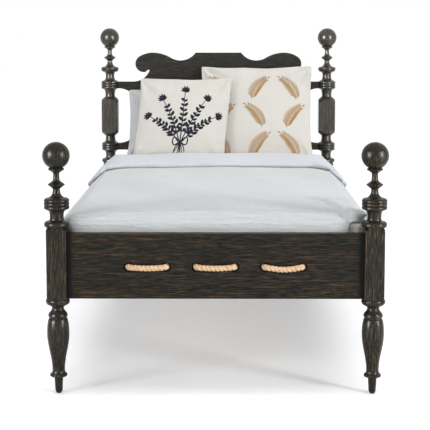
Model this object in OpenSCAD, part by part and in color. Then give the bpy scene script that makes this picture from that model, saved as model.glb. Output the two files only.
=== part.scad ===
// Rope bed: turned cannonball posts, plank rails, a scrolled headboard and one
// rope web laced through the rails, dressed with a mattress, a coverlet and
// pillows. Millimetres, +Z up. The origin is on the floor under the middle of
// the bed, with the headboard towards +Y.

/* [Mattress] */
// Width of the mattress
mattress_w = 965; // [760:5:1100]
// Length of the mattress
mattress_l = 1905; // [1700:5:2050]
// Depth of the mattress
mattress_h = 125; // [110:1:160]
// Rounding of the mattress edges
mattress_edge = 26; // [18:1:34]

/* [Rails] */
// Height of the four rails
rail_h = 214; // [180:1:240]
// Thickness of the four rails
rail_t = 38; // [34:1:42]
// Chamfer on the long edges of the rails
rail_edge = 3; // [1:0.5:5]
// Room between the mattress and each side rail
side_gap = 13.5; // [12:0.5:20]
// Room between the mattress and the end rails
end_gap = 28.5; // [26:0.5:36]
// Length of the tenons on the end rails
tenon_l = 28; // [20:1:29]
// Thickness of the tenons on the end rails
tenon_t = 20; // [14:1:24]
// Height of the tenons on the end rails
tenon_h = 150; // [110:1:170]

/* [Rope] */
// Diameter of the rope
rope_d = 20; // [16:1:21]
// Height of the rope holes above the lower edge of the rails
rope_up = 105; // [85:1:112]
// Distance between two holes that share a stitch on the foot rail
stitch = 124; // [100:1:130]
// Distance between one stitch and the next
stitch_gap = 97; // [80:1:105]
// Number of stitches on the foot rail
stitches_across = 3; // [2:1:3]
// Number of stitches on a side rail
stitches_along = 7; // [5:1:7]
// Inside radius of the rope's bends, measured to its middle
rope_bend = 14; // [13:0.5:17]
// How far each stitch sags
stitch_sag = 3; // [0:0.5:6]
// Diameter of the rope holes
rope_hole_d = 23; // [22:0.5:26]
// Depth of the eased mouth of each rope hole
rope_mouth = 5; // [4:0.5:7]
// Diameter of the stopper knots
knot_d = 38; // [34:1:42]
// Length of the stopper knots
knot_l = 20; // [16:1:21]

/* [Posts] */
// Height of the legs below the rails
leg_h = 318; // [290:1:340]
// Width of the square block that holds the rails
block_w = 65; // [62:1:72]
// How far that block stands above the rails
block_over = 15; // [12:1:30]
// Width of the square block higher up on the head posts
upper_block_w = 77; // [72:1:84]
// Height of that upper block, with its turned shoulders
upper_block_h = 187; // [170:1:230]
// Rounding of the blocks' upright edges
block_edge = 3; // [1:0.5:5]
// Diameter of the ball finials
ball_d = 89; // [80:1:94]
// Diameter of the bead rings
ring_d = 83; // [78:1:88]
// Depth of the grooves between the bead rings
groove_depth = 3.5; // [1.5:0.5:4]
// Height of one bead ring
ring_pitch = 11.5; // [10:0.5:13]
// Diameter of the torus above the block
torus_d = 83; // [78:1:88]
// Diameter of the coves between the rings and blocks
cove_d = 45; // [40:1:50]
// Diameter of the collar under the block
collar_d = 79; // [75:1:84]
// Thickest diameter of the vase leg
vase_d = 73; // [68:1:84]
// How far below the rails the vase leg is thickest
vase_drop = 117; // [110:1:124]
// Diameter of the leg's bead
leg_bead_d = 64; // [60:1:68]
// Diameter of the leg's neck above the bead
leg_neck_d = 39; // [36:1:44]
// Diameter of the ankle over the foot ring
ankle_d = 41; // [38:1:48]
// Diameter of the foot ring
foot_ring_d = 57; // [52:1:62]
// Diameter at the top of the toe
toe_d = 29; // [27:1:33]
// Diameter at the tip of the toe
toe_tip_d = 24; // [22:1:26]
// Height of the nail-on glide under each toe
glide_h = 3; // [2:0.5:5]
// Diameter of the glides
glide_d = 16; // [12:1:17]
// Diameter of the thin neck under each ball
neck_d = 19.5; // [18:0.5:24]
// Diameter of the sharp disc on the finial
disc_d = 55; // [50:1:64]
// Diameter of the flange under the ball
flange_d = 53; // [49:1:60]

/* [Headboard] */
// Thickness of the headboard
board_t = 28; // [24:1:32]
// Height of the arms that enter the posts
arm_h = 31; // [26:1:34]
// How far the arms reach into the posts
arm_housing = 30; // [20:1:34]
// Radius of the openings between the boards and the posts
side_scoop = 100; // [85:1:110]
// Height of the crest above its arms
crest_rise = 137; // [130:1:145]
// Depth of the two dips in the crest
crest_dip = 37; // [34:1:40]
// Radius of the scrolls at the ends of the crest
scroll_r = 40; // [38:1:42]
// Radius of the hollow under each scroll
hollow_r = 85; // [83:1:87]
// Radius of the crest's long inner curve
crest_r = 165; // [160:1:175]
// Radius of the end of the slot under each scroll
slot_r = 5; // [4:0.5:6]
// Height of the upper glue joint below the crest's arms
upper_joint = 60; // [50:1:75]
// Height of the lower glue joint above the lower arms
lower_joint = 65; // [55:1:75]
// Diameter of the dowels between the boards
board_dowel_d = 10; // [8:1:12]
// Length of the dowels between the boards
board_dowel_l = 50; // [40:1:60]
// Diameter of the dowels that hold the finials
finial_dowel_d = 14; // [12:1:16]
// Length of the dowels that hold the finials
finial_dowel_l = 56; // [40:1:60]

/* [Rail hooks] */
// Thickness of the steel plates
plate_t = 3; // [2.5:0.5:4]
// Width of the steel plates
plate_w = 26; // [22:1:28]
// Height of the steel plates
plate_h = 140; // [136:1:150]
// Thickness of the hooks
hook_t = 4; // [3:0.5:5]
// How far the hooks reach into the post
hook_reach = 18; // [16:1:20]
// How far the hooks hang behind the catch plate
hook_drop = 14; // [10:1:15]
// Distance between the two hooks of a plate
hook_pitch = 76; // [72:1:80]
// Diameter of the screws
screw_d = 4; // [3:0.5:4.5]
// Length of the screws
screw_l = 25; // [18:1:28]

/* [Bedding] */
// Thickness of the coverlet on top of the mattress at the foot
coverlet_t = 14; // [10:1:20]
// How much thicker the coverlet gets towards the head
coverlet_loft = 20; // [8:1:26]
// How far the coverlet swells over the side rails
coverlet_swell = 11; // [5:0.5:14]
// Depth of the coverlet's shallow folds
fold_depth = 3; // [1:0.5:5]
// Length of the mattress that the coverlet leaves free for the pillows
pillow_room = 288; // [270:2:380]
// Length of the sheet that is turned back over the coverlet
turn_l = 440; // [350:5:500]
// Thickness of the turned-back sheet with the quilt edge in it
turn_t = 22; // [12:1:26]

/* [Pillows] */
// Width of the white sleeping pillow
white_pillow_w = 640; // [560:5:680]
// Height of the white sleeping pillow
white_pillow_h = 350; // [320:5:370]
// Thickness of the white sleeping pillow
white_pillow_t = 90; // [76:1:92]
// Width of the right-hand cushion
right_pillow_w = 525; // [480:5:540]
// Height of the right-hand cushion
right_pillow_h = 490; // [450:5:500]
// Thickness of the right-hand cushion
right_pillow_t = 112; // [95:1:114]
// Width of the left-hand cushion
left_pillow_w = 430; // [400:5:440]
// Height of the left-hand cushion
left_pillow_h = 440; // [400:5:450]
// Thickness of the left-hand cushion
left_pillow_t = 108; // [90:1:110]
// How far the pillows' sides draw in between the corners
pillow_pinch = 0.07; // [0.03:0.01:0.1]
// How far the pillows press down where they stand
pillow_sink = 20; // [16:1:24]

/* [Hidden] */

// Clearances
fit = 0.2;          // glued and let-in woodwork
seat = 0.3;         // rope and cloth beside what they lie on
screw_fit = 0.1;    // round a screw or a dowel

// Places that follow from the sizes above
post_x = mattress_w / 2 + side_gap + rail_t / 2;
post_y = mattress_l / 2 + end_gap + rail_t / 2;
side_in = post_x - rail_t / 2;            // inner face of a side rail
end_in = post_y - rail_t / 2;             // inner face of an end rail
rail_top = leg_h + rail_h;
block_top = rail_top + block_over;
block_core = 10;                          // how far the block's core runs on
torus_h = 21;
torus_foot = 3;                           // fillet under the torus
cove_h = 39.5;                            // from the torus to the rings
rings_z = block_top + torus_foot + torus_h + cove_h;
rings_h = 3 * ring_pitch;
foot_seat = rings_z + 2 * ring_pitch;     // where a foot post's finial sits
upper_cove_h = 34;
upper_block_z = rings_z + rings_h + upper_cove_h;
lower_cove_h = 37.5;
upper_rings_z = upper_block_z + upper_block_h + lower_cove_h;
head_neck_h = 55;
head_seat = upper_rings_z + rings_h + head_neck_h;
lower_arm_z = rings_z + (rings_h - arm_h) / 2;
upper_arm_z = upper_rings_z + (rings_h - arm_h) / 2;

rope_r = rope_d / 2;
rope_z = leg_h + rope_up;
cross_gap = 0.4;
weave = rope_d + cross_gap;               // how far a crossing rope rides up or down
weave_flat = 14;                          // level stretch on each side of a crossing
rope_lead = 8;                            // straight stretch inside each side rail
stitch_off = rail_t / 2 + rope_r + seat;  // from a rail's middle to a stitch's middle
mattress_z = rope_z + weave + rope_r + seat;
mattress_top = mattress_z + mattress_h;

wood = [0.17, 0.14, 0.12];
steel = [0.62, 0.63, 0.65];
straw = [0.80, 0.66, 0.42];

// ---- Outlines and turnings -------------------------------------------------

// Points round an arc, from angle a0 to a1
function arc(x, z, r, a0, a1, n) =
    [for (i = [0:n]) let (a = a0 + (a1 - a0) * i / n) [x + r * cos(a), z + r * sin(a)]];

// A quarter curve that leaves p level and arrives at q upright
function level_then_up(p, q, n = 7) =
    [for (i = [1:n]) [p[0] + (q[0] - p[0]) * sin(90 * i / n),
                      p[1] + (q[1] - p[1]) * (1 - cos(90 * i / n))]];

// A quarter curve that leaves p upright and arrives at q level
function up_then_level(p, q, n = 7) =
    [for (i = [1:n]) [p[0] + (q[0] - p[0]) * (1 - cos(90 * i / n)),
                      p[1] + (q[1] - p[1]) * sin(90 * i / n)]];

// A long curve that is upright at both ends
function swell_curve(p, q, n = 12) =
    [for (i = [1:n]) [p[0] + (q[0] - p[0]) * (1 - cos(180 * i / n)) / 2,
                      p[1] + (q[1] - p[1]) * i / n]];

// A rounded bead of height h standing on a core of radius r - deep
function bead(z, r, h, deep, n = 8) =
    [for (i = [0:n]) let (a = -90 + 180 * i / n)
        [r - deep + deep * cos(a), z + h / 2 * (1 + sin(a))]];

// Part of a lens-shaped edge: a curve deep and h high, from angle a0 to a1
function lens(z, r, deep, h, a0, a1, n = 4) =
    [for (i = [0:n]) let (a = a0 + (a1 - a0) * i / n)
        [r - deep * (1 - cos(a)), z + h * sin(a)]];

// A disc with straight flanks that rise from a core to a rounded edge, or the
// half of it under or over the edge
function flank_up(z, r, core, h) =
    [[core, z - h - 2], [core + 1.3, z - h], [r - 2.6, z - 3], [r - 0.7, z - 1.4], [r, z]];
function flank_down(z, r, core, h) =
    [[r - 0.7, z + 1.4], [r - 2.6, z + 3], [core + 1.8, z + h - 1], [core, z + h + 3]];

// Bead rings, one on another, from height z
function rings(z, count) =
    [for (i = [0:count - 1])
        each bead(z + i * ring_pitch, ring_d / 2, ring_pitch, groove_depth)];

module turned(profile) {
    last = len(profile) - 1;
    rotate_extrude($fn = 96)
        polygon(concat([[0, profile[0][1]]], profile, [[0, profile[last][1]]]));
}

// The turned leg, from the toe up to the collar under the block
toe_h = 54;
foot_ring_z = 63;
vase_z = leg_h - vase_drop;
leg_bead_z = leg_h - 58.5;
leg_neck_z = leg_h - 34;
collar_z = leg_h - 10.5;
block_under = 4;                          // how far the block reaches below the rails

function leg_profile() =
    let (toe = [toe_d / 2, toe_h],
         ring = [foot_ring_d / 2, foot_ring_z - 3],
         ankle = [ankle_d / 2, foot_ring_z + 14],
         vase = [vase_d / 2, vase_z],
         fillet = leg_bead_d / 2 - 2.5,
         lip = [leg_bead_d / 2 - 0.3, leg_bead_z + 1.7],
         neck = [leg_neck_d / 2, leg_neck_z])
    concat(lens(glide_h + 8, toe_tip_d / 2, 4, 8, -90, 0),
           [toe],
           level_then_up(toe, ring, 6),
           [[foot_ring_d / 2, foot_ring_z], [foot_ring_d / 2 - 2, foot_ring_z + 3]],
           level_then_up([foot_ring_d / 2 - 2, foot_ring_z + 3], ankle, 6),
           swell_curve(ankle, vase, 14),
           up_then_level(vase, [fillet - 1.5, leg_bead_z - 8.5], 8),
           [[fillet, leg_bead_z - 7.5], [fillet, leg_bead_z - 4],
            [fillet + 1, leg_bead_z - 3], [leg_bead_d / 2, leg_bead_z], lip],
           swell_curve(lip, neck, 8),
           [[leg_neck_d / 2 + 1.2, leg_neck_z + 5]],
           lens(collar_z, collar_d / 2, 13, 13, -70, 0, 5),
           [[collar_d / 2, collar_z + 1.5], [collar_d / 2 - 1.2, collar_z + 4.5],
            [collar_d / 2 - 3.5, leg_h - block_under]]);

// Torus, cove and rings above the block; the same on all four posts
function above_block(ring_count) =
    let (z = block_top + torus_foot, low = [torus_d / 2 - 15, z + torus_h + 2],
         waist = [cove_d / 2, z + torus_h + 10], high = [ring_d / 2 - 7.5, rings_z - 2])
    concat([[torus_d / 2 - 9, block_top], [torus_d / 2 - 9, z]],
           bead(z, torus_d / 2, torus_h, 9, 10),
           [low],
           level_then_up(low, waist, 6),
           up_then_level([waist[0], waist[1] + 9], high),
           rings(rings_z, ring_count));

// The rest of a head post: cove, upper block's core, rings and finial seat
function head_top() =
    let (z = rings_z + rings_h, under = [cove_d / 2, z + 22],
         over = [cove_d / 2, upper_block_z + upper_block_h],
         neck = [cove_d / 2 - 2.5, upper_rings_z + rings_h + 24],
         brim = [ring_d / 2 - 14, head_seat - 12])
    concat([[ring_d / 2 - 8, z + 3]],
           level_then_up([ring_d / 2 - 8, z + 3], under),
           [[cove_d / 2, over[1] + 8]],
           up_then_level([cove_d / 2, over[1] + 8], [ring_d / 2 - 10, upper_rings_z - 3]),
           rings(upper_rings_z, 3),
           [[ring_d / 2 - 12, upper_rings_z + rings_h + 5]],
           level_then_up([ring_d / 2 - 12, upper_rings_z + rings_h + 5], neck),
           up_then_level([neck[0], neck[1] + 5], brim, 5),
           lens(head_seat + 3, ring_d / 2, 11, 13, -70, -14, 4),
           [[ring_d / 2 - groove_depth * 0.4, head_seat]]);

// Outline of a square with rounded corners
function rounded_square(w, r) =
    [for (k = [0:3]) each
        [for (p = arc(w / 2 - r, w / 2 - r, r, 0, 90, 4))
            [p[0] * cos(90 * k) - p[1] * sin(90 * k), p[0] * sin(90 * k) + p[1] * cos(90 * k)]]];

// A square block whose ends are turned down on the lathe
module block(w, z, h, end_r, shoulder, drop) {
    far = w * 0.75;
    intersection() {
        translate([0, 0, z]) linear_extrude(h) polygon(rounded_square(w, block_edge));
        rotate_extrude($fn = 96)
            polygon([[0, z], [end_r, z], [end_r + shoulder * 0.7, z + drop * 0.4],
                     [far, z + drop], [far, z + h - drop],
                     [end_r + shoulder * 0.7, z + h - drop * 0.4], [end_r, z + h], [0, z + h]]);
    }
}

// The pocket behind a catch plate, with the plate's own recess, on the post's
// face towards the middle of the bed
hook_z = rope_z;
plate_z = leg_h + rail_h / 2;
slot_w = hook_t + 2;
slot_h = 34;
screw_near = 10;
screw_far = plate_h / 2 - 6;
screw_head_d = 2 * screw_d;
screw_head_h = screw_d * 0.6;
screw_heights = [-screw_far, -screw_near, screw_near, screw_far];

module catch_pocket() {
    face = block_w / 2;
    translate([-plate_w / 2 - fit, face - plate_t - fit, plate_z - plate_h / 2 - fit])
        cube([plate_w + 2 * fit, plate_t + 2 * fit + 1, plate_h + 2 * fit]);
    for (s = [-1, 1])
        translate([-slot_w / 2, face - hook_reach - 3, plate_z + s * hook_pitch / 2 - slot_h / 2])
            cube([slot_w, hook_reach + 3, slot_h]);
    for (z = screw_heights)
        translate([0, face - plate_t, plate_z + z]) rotate([90, 0, 0])
            cylinder(h = screw_l, r = screw_d / 2 + screw_fit, $fn = 24);
}

// A post at the origin. The bed's middle lies towards -X and +Y from it, and
// the two heights list the arms that enter a head post.
module post(is_head) {
    color(wood) difference() {
        union() {
            turned(leg_profile());
            translate([0, 0, leg_h - block_core])
                cylinder(h = block_top - leg_h + 2 * block_core, d = cove_d - 5, $fn = 96);
            block(block_w, leg_h - block_under, block_top - leg_h + block_under,
                  block_w / 2 + 4, 8, 7);
            turned(concat(above_block(is_head ? 3 : 2), is_head ? head_top() : []));
            if (is_head)
                block(upper_block_w, upper_block_z, upper_block_h, cove_d / 2 + 1, 26, 38);
        }
        // mortise for the end rail's tenon
        translate([-block_w / 2 - 1, -tenon_t / 2 - fit, plate_z - tenon_h / 2 - fit])
            cube([tenon_l + 1 + 2 * fit, tenon_t + 2 * fit, tenon_h + 2 * fit]);
        catch_pocket();
        // dowel hole under the finial
        translate([0, 0, (is_head ? head_seat : foot_seat) - finial_dowel_l / 2 - 1])
            cylinder(h = finial_dowel_l, r = finial_dowel_d / 2 + screw_fit, $fn = 48);
        if (is_head)
            for (z = [lower_arm_z, upper_arm_z])
                translate([-ring_d, -board_t / 2 - fit, z - fit])
                    cube([ring_d - ring_d / 2 + arm_housing + fit,
                          board_t + 2 * fit, arm_h + 2 * fit]);
    }
}

// Puts a post's children at one corner, turned so that the bed's middle is
// where the post expects it
module at_post(right, head) {
    translate([right * post_x, head * post_y, 0])
        mirror([right < 0 ? 1 : 0, 0, 0]) mirror([0, head > 0 ? 1 : 0, 0]) children();
}

// Heights on a finial, from its seat
finial_ring_z = 4;
finial_waist_z = 38;
finial_lip_z = 56.8;
finial_lip_h = 12.7;
finial_neck_z = 83;
finial_flange_z = 107;
ball_z = finial_flange_z + 44;

module finial(z) {
    core = neck_d / 2;
    r = ring_d / 2;
    ball_r = ball_d / 2;
    ball_foot = flange_d / 2 - 5;
    shoulder = [r - 11 * (1 - cos(75)), finial_ring_z + 9.5 * sin(75)];
    profile = concat(
        lens(finial_ring_z, r, groove_depth, finial_ring_z, -90, 0),
        lens(finial_ring_z, r, 11, 9.5, 15, 75),
        level_then_up(shoulder, [core + 1.8, finial_waist_z], 8),
        flank_up(finial_lip_z, disc_d / 2, core + 1.8, finial_lip_h),
        flank_down(finial_lip_z, disc_d / 2, core + 1, finial_lip_h),
        [[core, finial_neck_z], [core, finial_neck_z + 8]],
        [[core + 1.5, finial_flange_z - 11.5], [flange_d / 2 - 3, finial_flange_z - 3.2],
         [flange_d / 2 - 0.7, finial_flange_z - 1.4], [flange_d / 2, finial_flange_z],
         [flange_d / 2 - 0.7, finial_flange_z + 1.6], [ball_foot, finial_flange_z + 4.5]],
        arc(0, ball_z, ball_r, -acos(ball_foot / ball_r), 88, 28));
    color(wood) translate([0, 0, z]) difference() {
        turned(profile);
        translate([0, 0, -1]) cylinder(h = finial_dowel_l / 2 + 2,
                                       r = finial_dowel_d / 2 + screw_fit, $fn = 48);
    }
}

module finial_dowels() {
    color([0.75, 0.6, 0.4])
        for (right = [-1, 1]) for (head = [-1, 1])
            translate([right * post_x, head * post_y,
                       (head > 0 ? head_seat : foot_seat) - finial_dowel_l / 2])
                cylinder(h = finial_dowel_l, r = finial_dowel_d / 2, $fn = 48);
}

module floor_glides() {
    color([0.12, 0.12, 0.12])
        for (right = [-1, 1]) for (head = [-1, 1])
            translate([right * post_x, head * post_y, 0])
                cylinder(h = glide_h, r = glide_d / 2, $fn = 48);
}

// ---- Rails -----------------------------------------------------------------

// Places of the rope holes along a rail that carries so many stitches
function holes(stitches) =
    [for (i = [0:2 * stitches - 1])
        -(stitches * stitch + (stitches - 1) * stitch_gap) / 2
        + floor(i / 2) * (stitch + stitch_gap) + (i % 2) * stitch];

across = holes(stitches_across);
along = holes(stitches_along);

// A plank that runs along X, centred on the origin, with chamfered long edges
module plank(l) {
    c = rail_edge;
    rotate([90, 0, 90]) translate([0, 0, -l / 2]) linear_extrude(l)
        polygon([for (s = [[1, 1], [-1, 1], [-1, -1], [1, -1]])
            each [for (p = (s[0] * s[1] > 0 ? [[0, c], [c, 0]] : [[c, 0], [0, c]]))
                [s[0] * (rail_t / 2 - p[0]), s[1] * (rail_h / 2 - p[1])]]]);
}

// A rope hole through a plank, with both mouths eased
module rope_hole(x) {
    translate([x, 0, rope_z - plate_z]) rotate([90, 0, 0]) {
        cylinder(h = rail_t + 2, r = rope_hole_d / 2, center = true, $fn = 48);
        for (s = [0, 1]) mirror([0, 0, s])
            translate([0, 0, rail_t / 2 - rope_mouth])
                cylinder(h = rope_mouth + 0.01, r1 = rope_hole_d / 2,
                         r2 = rope_hole_d / 2 + rope_mouth, $fn = 48);
    }
}

module end_rail(y) {
    l = 2 * (post_x - block_w / 2);
    color(wood) translate([0, y, plate_z]) difference() {
        union() {
            plank(l);
            cube([l + 2 * tenon_l, tenon_t, tenon_h], center = true);
        }
        for (x = across) rope_hole(x);
    }
}

// A side rail at the origin that runs along X, before it is turned along Y
side_l = 2 * (post_y - block_w / 2 - fit);

module side_rail(x) {
    color(wood) translate([x, 0, plate_z]) rotate([0, 0, 90]) difference() {
        plank(side_l);
        for (y = along) rope_hole(y);
        for (s = [0, 1]) mirror([s, 0, 0]) {
            translate([side_l / 2 - plate_t - fit, -plate_w / 2 - fit, -plate_h / 2 - fit])
                cube([plate_t + fit + 1, plate_w + 2 * fit, plate_h + 2 * fit]);
            for (z = screw_heights)
                translate([side_l / 2 - plate_t - screw_l, 0, z]) rotate([0, 90, 0])
                    cylinder(h = screw_l, r = screw_d / 2 + screw_fit, $fn = 24);
        }
    }
}

// ---- Rail hooks ------------------------------------------------------------
// All of these are drawn for the foot post on the right, in the post's frame.

// Countersunk screw holes through a plate whose outer face is at y = 0
module plate_screw_holes() {
    for (z = screw_heights) translate([0, 0, z]) rotate([90, 0, 0]) {
        translate([0, 0, -plate_t - 1])
            cylinder(h = 2 * plate_t + 2, r = screw_d / 2 + screw_fit, $fn = 24);
        translate([0, 0, -screw_head_h]) cylinder(h = screw_head_h + 0.01,
            r1 = screw_d / 2 + screw_fit, r2 = screw_head_d / 2 + screw_fit, $fn = 24);
    }
}

module plate_screws() {
    for (z = screw_heights) translate([0, 0, z]) rotate([90, 0, 0]) {
        translate([0, 0, -screw_head_h])
            cylinder(h = screw_head_h, r1 = screw_d / 2, r2 = screw_head_d / 2, $fn = 24);
        translate([0, 0, -screw_l]) cylinder(h = screw_l - screw_head_h + 0.01,
                                             r = screw_d / 2, $fn = 24);
    }
}

module hook_plate() {
    reach = fit + hook_reach;
    behind = fit + plate_t + 0.5;
    difference() {
        translate([-plate_w / 2, 0, -plate_h / 2]) cube([plate_w, plate_t, plate_h]);
        plate_screw_holes();
    }
    for (s = [-1, 1])
        translate([hook_t / 2, 0, s * hook_pitch / 2]) rotate([90, 0, -90])
            linear_extrude(hook_t)
                polygon([[-0.5, 8], [reach, 8], [reach, -hook_drop], [behind + 4, -hook_drop],
                         [behind, -hook_drop + 6], [behind, -6], [-0.5, -6]]);
}

module catch_plate() {
    difference() {
        translate([-plate_w / 2, 0, -plate_h / 2]) cube([plate_w, plate_t, plate_h]);
        plate_screw_holes();
        for (s = [-1, 1])
            translate([-slot_w / 2, -1, s * hook_pitch / 2 - slot_h / 2 + 6])
                cube([slot_w, plate_t + 2, slot_h - 12]);
    }
}

module at_each_side_joint() {
    for (right = [-1, 1]) for (head = [-1, 1])
        at_post(right, head) translate([0, block_w / 2, plate_z]) children();
}

module rail_hook_plates() {
    color(steel) at_each_side_joint() translate([0, fit, 0]) hook_plate();
}

module rail_plate_screws() {
    color(steel) at_each_side_joint() translate([0, fit, 0]) plate_screws();
}

module post_catch_plates() {
    color(steel) at_each_side_joint() mirror([0, 1, 0]) catch_plate();
}

module catch_plate_screws() {
    color(steel) at_each_side_joint() mirror([0, 1, 0]) plate_screws();
}

// ---- Headboard -------------------------------------------------------------

// Heights and places of the crest's curves, on the right-hand half
arm_top = upper_arm_z + arm_h;
crest_z = arm_top + crest_rise;
arm_end = post_x - ring_d / 2 + arm_housing;
scoop_x = post_x - 39;
hollow_x = post_x - 110;
scroll_x = post_x - 162;
scroll_z = arm_top + hollow_r;
hump_x = post_x - 203;
dip_x = post_x - 335;

// The scroll's curve runs into a larger one that has its top at hump_x
scroll_dx = scroll_x - hump_x;
scroll_dz = crest_z - scroll_z;
hump_r = (scroll_dx * scroll_dx + scroll_dz * scroll_dz - scroll_r * scroll_r)
       / (2 * (scroll_dz - scroll_r));
scroll_from = atan2(hump_r - scroll_dz, scroll_dx);
// The dip is a hollow that meets the crest's long inner curve
dip_dx = hump_x - dip_x;
dip_up = crest_r - crest_dip;
dip_r = (dip_dx * dip_dx + dip_up * dip_up - crest_r * crest_r) / (2 * (crest_r - dip_up));
dip_z = crest_z - crest_dip + dip_r;
dip_end = atan2(crest_z - crest_r - dip_z, dip_dx);
dip_start = -180 + asin((dip_z - crest_z) / dip_r);
slot_x = scroll_x - 21.5;
slot_z = scroll_z - 33.5;
hollow_from = 180 + asin((scroll_z - slot_z + 2) / hollow_r);

function crest_half() = concat(
    arc(dip_x, dip_z, dip_r, dip_start, dip_end, 12),
    arc(hump_x, crest_z - crest_r, crest_r, dip_end + 180, 90, 8),
    arc(hump_x, crest_z - hump_r, hump_r, 86, scroll_from, 7),
    arc(scroll_x, scroll_z, scroll_r, scroll_from - 8, -100, 20),
    arc(slot_x, slot_z, slot_r, 60, 195, 7),
    arc(hollow_x, scroll_z, hollow_r, hollow_from, 270, 12),
    [[arm_end, arm_top], [arm_end, upper_arm_z]]);

upper_joint_z = upper_arm_z - upper_joint;
lower_joint_z = lower_arm_z + arm_h + lower_joint;
upper_scoop_z = upper_arm_z - side_scoop;
lower_scoop_z = lower_arm_z + arm_h + side_scoop;
upper_scoop_end = 90 + acos((upper_joint_z - upper_scoop_z) / side_scoop);
lower_scoop_end = 270 - acos((lower_scoop_z - lower_joint_z) / side_scoop);

// A board from its right-hand outline, in the XZ plane
module board(half) {
    n = len(half) - 1;
    translate([0, post_y + board_t / 2, 0]) rotate([90, 0, 0]) linear_extrude(board_t)
        polygon(concat(half, [for (i = [n:-1:0]) [-half[i][0], half[i][1]]]));
}

dowel_places = [-300, -150, 0, 150, 300];

module board_dowels(z, extra) {
    for (x = dowel_places)
        translate([x, post_y, z - board_dowel_l / 2 - extra])
            cylinder(h = board_dowel_l + 2 * extra, r = board_dowel_d / 2 + extra, $fn = 24);
}

module crest_board() {
    color(wood) difference() {
        board(concat(crest_half(), arc(scoop_x, upper_scoop_z, side_scoop, 90, upper_scoop_end, 9)));
        board_dowels(upper_joint_z, screw_fit);
    }
}

module headboard_middle_board() {
    color(wood) difference() {
        board(concat(arc(scoop_x, upper_scoop_z, side_scoop, upper_scoop_end, 180, 6),
                     arc(scoop_x, lower_scoop_z, side_scoop, 180, lower_scoop_end, 6)));
        board_dowels(upper_joint_z, screw_fit);
        board_dowels(lower_joint_z, screw_fit);
    }
}

module headboard_lower_board() {
    color(wood) difference() {
        board(concat(arc(scoop_x, lower_scoop_z, side_scoop, lower_scoop_end, 270, 9),
                     [[arm_end, lower_arm_z + arm_h], [arm_end, lower_arm_z]]));
        board_dowels(lower_joint_z, screw_fit);
    }
}

module headboard_dowels() {
    color([0.75, 0.6, 0.4]) {
        board_dowels(upper_joint_z, 0);
        board_dowels(lower_joint_z, 0);
    }
}

// ---- Rope ------------------------------------------------------------------

function unit(v) = v / norm(v);

// A closed tube along a route that never runs upright
module tube(route, r, sides) {
    m = len(route);
    ways = [for (i = [0:m - 1])
        unit((i < m - 1 ? unit(route[i + 1] - route[i]) : [0, 0, 0])
             + (i > 0 ? unit(route[i] - route[i - 1]) : [0, 0, 0]))];
    points = [for (i = [0:m - 1])
        let (s = unit(cross(ways[i], [0, 0, 1])), u = cross(s, ways[i]))
        for (j = [0:sides - 1]) let (a = 360 * j / sides)
            route[i] + r * (cos(a) * s + sin(a) * u)];
    walls = [for (i = [0:m - 2]) for (j = [0:sides - 1])
        let (a = i * sides + j, b = i * sides + (j + 1) % sides)
        each [[a, b, b + sides], [a, b + sides, a + sides]]];
    polyhedron(points, concat([[for (j = [sides - 1:-1:0]) j]], walls,
                              [[for (j = [0:sides - 1]) (m - 1) * sides + j]]), convexity = 10);
}

// Out of one hole, along the rail's face and into the next hole
function stitch_route(a, b, out, steps) =
    let (ab = unit(b - a), flat = norm(b - a) - 2 * rope_bend)
    concat([for (i = [0:steps]) let (t = 90 * i / steps)
               a + ab * rope_bend * (1 - cos(t)) - out * rope_bend * (1 - sin(t))],
           [for (k = [1:3]) let (u = k / 4)
               a + ab * (rope_bend + u * flat) - [0, 0, stitch_sag * 4 * u * (1 - u)]],
           [for (i = [0:steps]) let (t = 90 * i / steps)
               b - ab * rope_bend * (1 - sin(t)) - out * rope_bend * (1 - cos(t))]);

knot_face = rail_t / 2 + seat;            // from a rail's middle to a knot

function lengthwise_route() =
    let (n = len(across), tip = post_y + knot_face)
    concat([[across[0], tip, rope_z]],
           [for (i = [0:n - 2]) let (end = i % 2 == 0 ? -1 : 1, y = end * (post_y + stitch_off))
               each stitch_route([across[i], y, rope_z], [across[i + 1], y, rope_z],
                                 [0, end, 0], 6)],
           [[across[n - 1], tip, rope_z]]);

// Over and under the lengthwise ropes, on the way from one side rail to the other
function woven_run(i) =
    let (way = i % 2 == 0 ? 1 : -1, n = len(across), y = along[i])
    concat([[-way * (side_in - rope_lead), y, rope_z]],
           [for (k = [0:n - 1]) for (s = [-1, 1])
               let (j = way > 0 ? k : n - 1 - k, side = (i + j) % 2 == 0 ? 1 : -1)
               [across[j] + way * s * weave_flat, y, rope_z + side * weave]],
           [[way * (side_in - rope_lead), y, rope_z]]);

function crosswise_route() =
    let (n = len(along), tip = post_x + knot_face)
    concat([[-tip, along[0], rope_z]],
           [for (i = [0:n - 1]) let (side = i % 2 == 0 ? 1 : -1, x = side * (post_x + stitch_off))
               each concat(woven_run(i),
                           i == n - 1 ? [] : stitch_route([x, along[i], rope_z],
                               [x, along[i + 1], rope_z], [side, 0, 0], 4))],
           [[-tip, along[n - 1], rope_z]]);

module lengthwise_rope() {
    color(straw) tube(lengthwise_route(), rope_r, 12);
}

module crosswise_rope() {
    color(straw) tube(crosswise_route(), rope_r, 8);
}

// A stopper knot of three turns with the cut end of the rope showing
knot_tail = 3;

module knot() {
    turn = knot_l / 3;
    profile = concat([for (i = [0:2]) each bead(i * turn, knot_d * (i == 1 ? 0.5 : 0.45), turn, knot_d * 0.1)],
                     [[rope_r, knot_l], [rope_r, knot_l + knot_tail],
                      [rope_r * 0.85, knot_l + knot_tail + 1]]);
    color(straw) turned(profile);
}

module lengthwise_rope_knots() {
    for (x = [across[0], across[len(across) - 1]])
        translate([x, post_y + knot_face, rope_z]) rotate([-90, 0, 0]) knot();
}

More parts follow.
